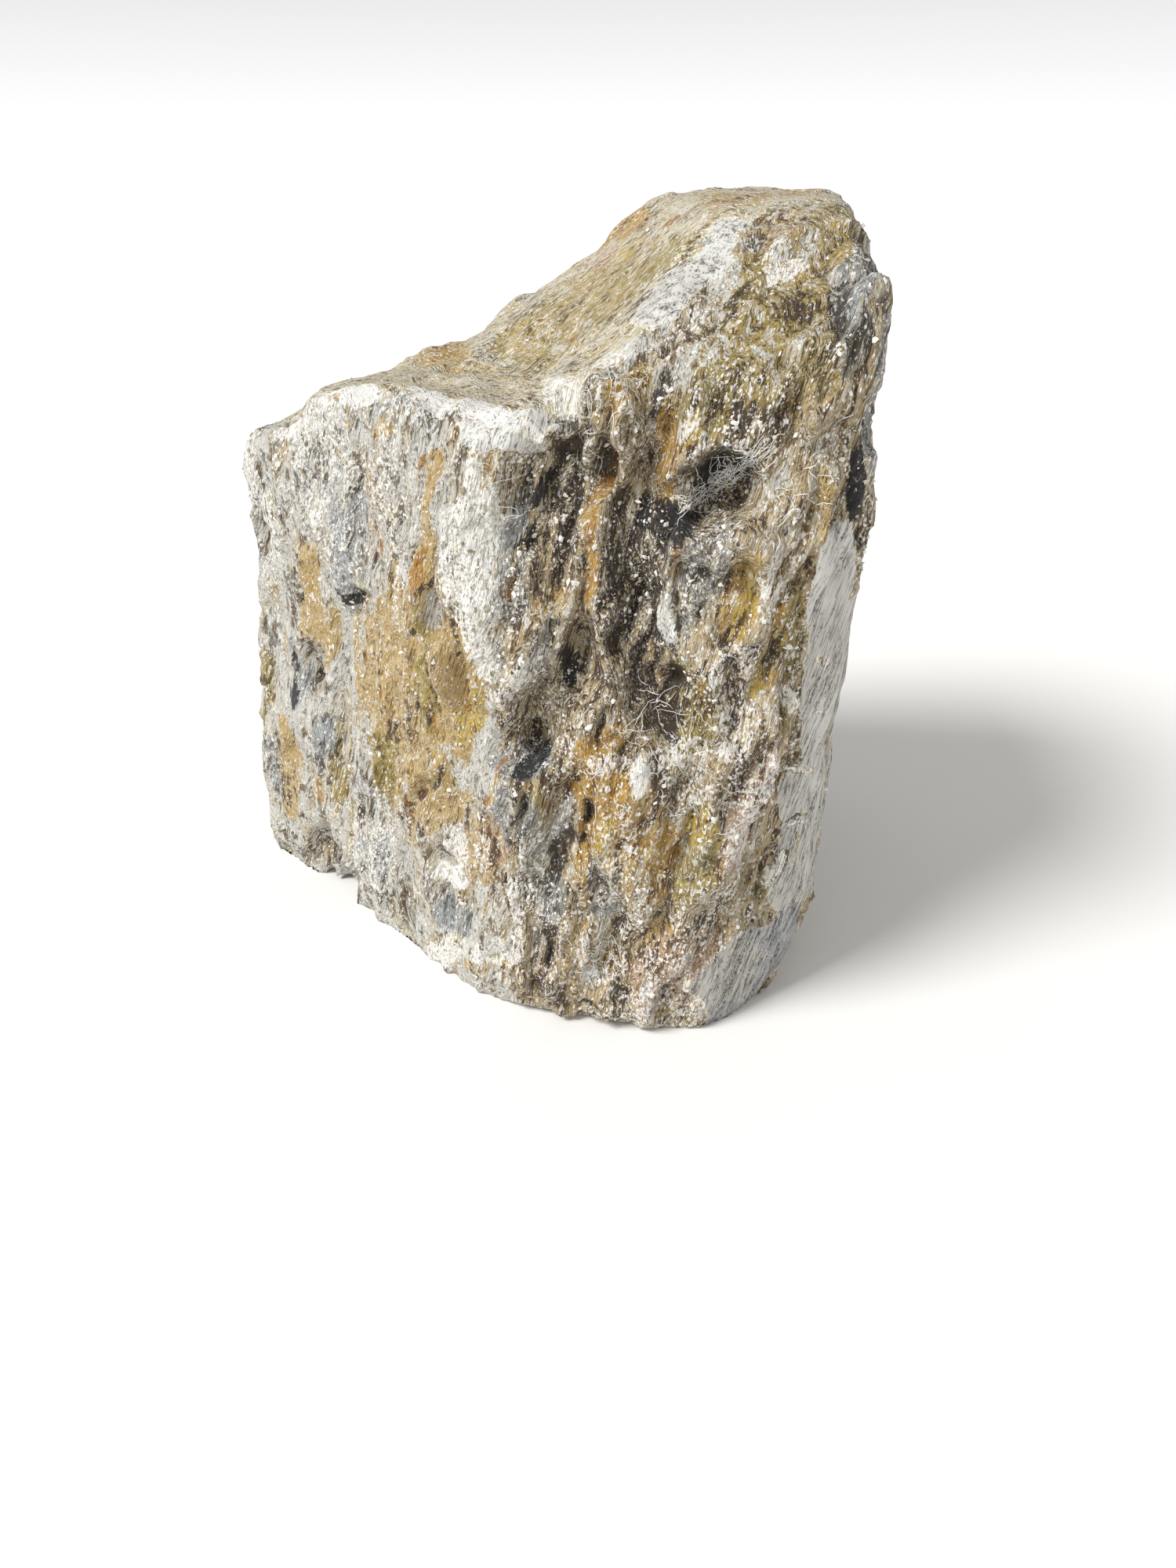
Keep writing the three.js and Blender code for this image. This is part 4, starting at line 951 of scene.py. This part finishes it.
def makeCrumbs():
    # each crumb is a small sphere times its flatness, a random lump per point and its size, turned at random
    # and sunk a little into the surface; most lie where the rock is broken or powdery
    random = np.random.default_rng(crumbPile["seed"])
    count = crumbPile["count"]
    chance = (crumbPile["anywhere"] + crumbPile["onFront"] * masks["frontFace"]
              + crumbPile["crumbly"] * masks["crumbly"] + crumbPile["inPowder"] * masks["powder"])
    chance *= 1 - masks["scraped"]
    chance *= (1 - crumbPile["offTop"] * masks["facingUp"]) * (stonePoints[:, 2] > crumbPile["footClear"])
    seats = random.choice(len(stonePoints), count, replace=False, p=chance / chance.sum())
    ball, triangles = sphereGrid(crumbPile["around"], crumbPile["rings"])
    small, large = crumbPile["size"]
    size = small + (large - small) * random.random(count) ** crumbPile["sizePower"]
    lumpy = 1 + crumbPile["lumpiness"] * random.normal(size=(count, len(ball), 1))
    shapes = ball * crumbPile["flatness"] * lumpy * size[:, None, None]
    shapes = np.einsum("nij,nkj->nki", turnsFrom(random, count), shapes)
    middles = stonePoints[seats] - stoneNormals[seats] * (crumbPile["sink"] * size)[:, None]
    points = (shapes + middles[:, None]).reshape(-1, 3)
    faces = (np.arange(count)[:, None, None] * len(ball) + triangles).reshape(-1, 3)
    shade = np.repeat(random.random(count), len(ball))
    crumbs = makeMesh("talcCrumbs", points, faces, {"shade": shade})
    crumbs.data.materials.append(crumbledTalc())
    print("crumbs made,", len(faces), "triangles")


makeCrumbs()


# frayed fibres, in mm
fibreTufts = {
    "seed": 9, "steps": 14, "sides": 3, "wander": 0.35,
    "radius": 0.11, "tipShare": 0.35,  # about twice the real radius, so that they show
    "lift": 1.6, "leastLift": 0.2, "clearance": 0.1,  # a fibre has at least this share of the lift
    "scatter": 0.6, "lengths": (0.5, 1.3),  # shares of a tuft's spread and of its length
    # at, spread, number, length
    "tufts": [
        ((38, -62, 145), 1.8, 35, 4),
        ((42, -62, 148), 1.8, 60, 4),
        ((46, -62, 151), 2, 60, 4),
        ((50, -62, 154), 2, 35, 4),
        ((38, -70, 93), 8, 24, 8),
        ((16, -52, 165), 8, 30, 7),
        ((30, -72, 78), 14, 40, 6),
        ((60, -66, 150), 10, 30, 5),
        ((16, -75, 22), 5, 60, 4),
        ((-8, -58, 150), 10, 20, 5),
    ],
}


def makeFibres():
    # each fibre is a path that wanders, laid on the surface along rays from the heart and lifted off it by
    # lift * sin(pi t) + clearance, with a thin three-sided section that narrows to its tips as sin(pi t)^0.5
    random = np.random.default_rng(fibreTufts["seed"])
    steps, sides = fibreTufts["steps"], fibreTufts["sides"]
    starts, lengths = [], []
    for at, spread, number, length in fibreTufts["tufts"]:
        starts.append(np.array(at, float) + spread * random.normal(size=(number, 3)) * fibreTufts["scatter"])
        lengths.append(length * random.uniform(*fibreTufts["lengths"], number))
    starts, lengths = np.concatenate(starts), np.concatenate(lengths)
    count = len(starts)
    heading = unit(random.normal(size=(count, 1, 3)))
    turns = np.cumsum(fibreTufts["wander"] * random.normal(size=(count, steps, 3)), axis=1)
    path = np.cumsum(unit(heading + turns), axis=1) * (lengths / steps)[:, None, None] + starts[:, None]
    surface, outward = stoneSurface(unit((path - form["heart"]).reshape(-1, 3)))[:2]
    arch = np.sin(math.pi * np.linspace(0, 1, steps))
    share = random.uniform(fibreTufts["leastLift"], 1, (count, 1))
    lift = fibreTufts["lift"] * share * arch + fibreTufts["clearance"]
    centres = (surface + outward * lift.reshape(-1, 1)).reshape(count, steps, 3)
    ahead = unit(np.gradient(centres, axis=1))
    outward = outward.reshape(count, steps, 3)
    sideways = unit(np.cross(ahead, outward))
    upward = np.cross(sideways, ahead)
    angle = np.arange(sides) * 2 * math.pi / sides
    radius = fibreTufts["radius"] * (fibreTufts["tipShare"] + (1 - fibreTufts["tipShare"]) * arch ** 0.5)
    section = (sideways[:, :, None] * np.cos(angle)[:, None] + upward[:, :, None] * np.sin(angle)[:, None])
    points = (centres[:, :, None] + section * radius[:, None, None]).reshape(-1, 3)
    index = np.arange(count * steps * sides).reshape(count, steps, sides)
    after = np.roll(index, -1, axis=2)
    walls = np.stack([index[:, :-1], index[:, 1:], after[:, 1:], after[:, :-1]], -1).reshape(-1, 4)
    triangles = np.concatenate([walls[:, [0, 1, 2]], walls[:, [0, 2, 3]], index[:, 0, ::-1], index[:, -1]])
    fibres = makeMesh("frayedFibres", points, triangles, smooth=True)
    fibres.data.materials.append(frayedFibre())
    print("fibres made,", len(triangles), "triangles")


makeFibres()


# floor, light and camera
studio = {
    "floorHalf": 20,  # in metres, as is the camera's place
    "floorColour": "#F4F3F0", "floorRoughness": 0.9,
    "camera": (0.0195, -0.3332, 0.225), "nearest": 0.01,
    "pitch": 60,  # degrees up from straight down
    "lens": 27, "sensor": 36,  # in mm
    "skyStrength": 0.5, "horizonStrength": 1.0, "horizonTop": 0.2,
    "lampAzimuth": -62, "lampElevation": 48, "lampSpread": 22, "lampStrength": 2.9,
}


def makeFloor():
    # a flat square at z = 0, of seamless paper: to the eye matt and nearly white
    half = studio["floorHalf"]
    mesh = bpy.data.meshes.new("floor")
    corners = [(-half, -half, 0), (half, -half, 0), (half, half, 0), (-half, half, 0)]
    mesh.from_pydata(corners, [], [(0, 1, 2, 3)])
    floor = intoScene("floor", mesh)
    material = bpy.data.materials.new("palePaper")
    material.use_nodes = True
    shader = material.node_tree.nodes["Principled BSDF"]
    shader.inputs["Base Color"].default_value = linear(studio["floorColour"])
    shader.inputs["Roughness"].default_value = studio["floorRoughness"]
    mesh.materials.append(material)


def makeLights():
    # one broad lamp from the upper left, and a sky that is whitest at the horizon
    lamp = bpy.data.lights.new("key", "SUN")
    lamp.energy, lamp.angle = studio["lampStrength"], math.radians(studio["lampSpread"])
    light = intoScene("key", lamp)
    light.location = facing(studio["lampAzimuth"], studio["lampElevation"])
    light.rotation_euler = light.location.to_track_quat("Z", "Y").to_euler()
    world = bpy.data.worlds.new("sky")
    world.use_nodes = True
    tree = world.node_tree
    height = addNode(tree, "SeparateXYZ", {0: addNode(tree, "TexCoord", {})}).outputs["Z"]
    glow = addNode(tree, "MapRange", {"Value": height, "From Max": studio["horizonTop"],
                                      "To Min": studio["horizonStrength"], "To Max": studio["skyStrength"]})
    sky = tree.nodes["Background"]
    sky.inputs["Color"].default_value = (1, 1, 1, 1)
    tree.links.new(glow.outputs[0], sky.inputs["Strength"])
    bpy.context.scene.world = world


def makeCamera():
    # a wide lens close in front of the stone, looking down at it
    lens = bpy.data.cameras.new("camera")
    lens.lens, lens.sensor_width, lens.sensor_fit = studio["lens"], studio["sensor"], "AUTO"
    lens.clip_start = studio["nearest"]
    camera = intoScene("camera", lens)
    camera.location = studio["camera"]
    camera.rotation_euler = (math.radians(studio["pitch"]), 0, 0)
    bpy.context.scene.camera = camera


makeFloor()
makeLights()
makeCamera()
bpy.context.scene.view_settings.view_transform = "Standard"
print("floor, light and camera set")
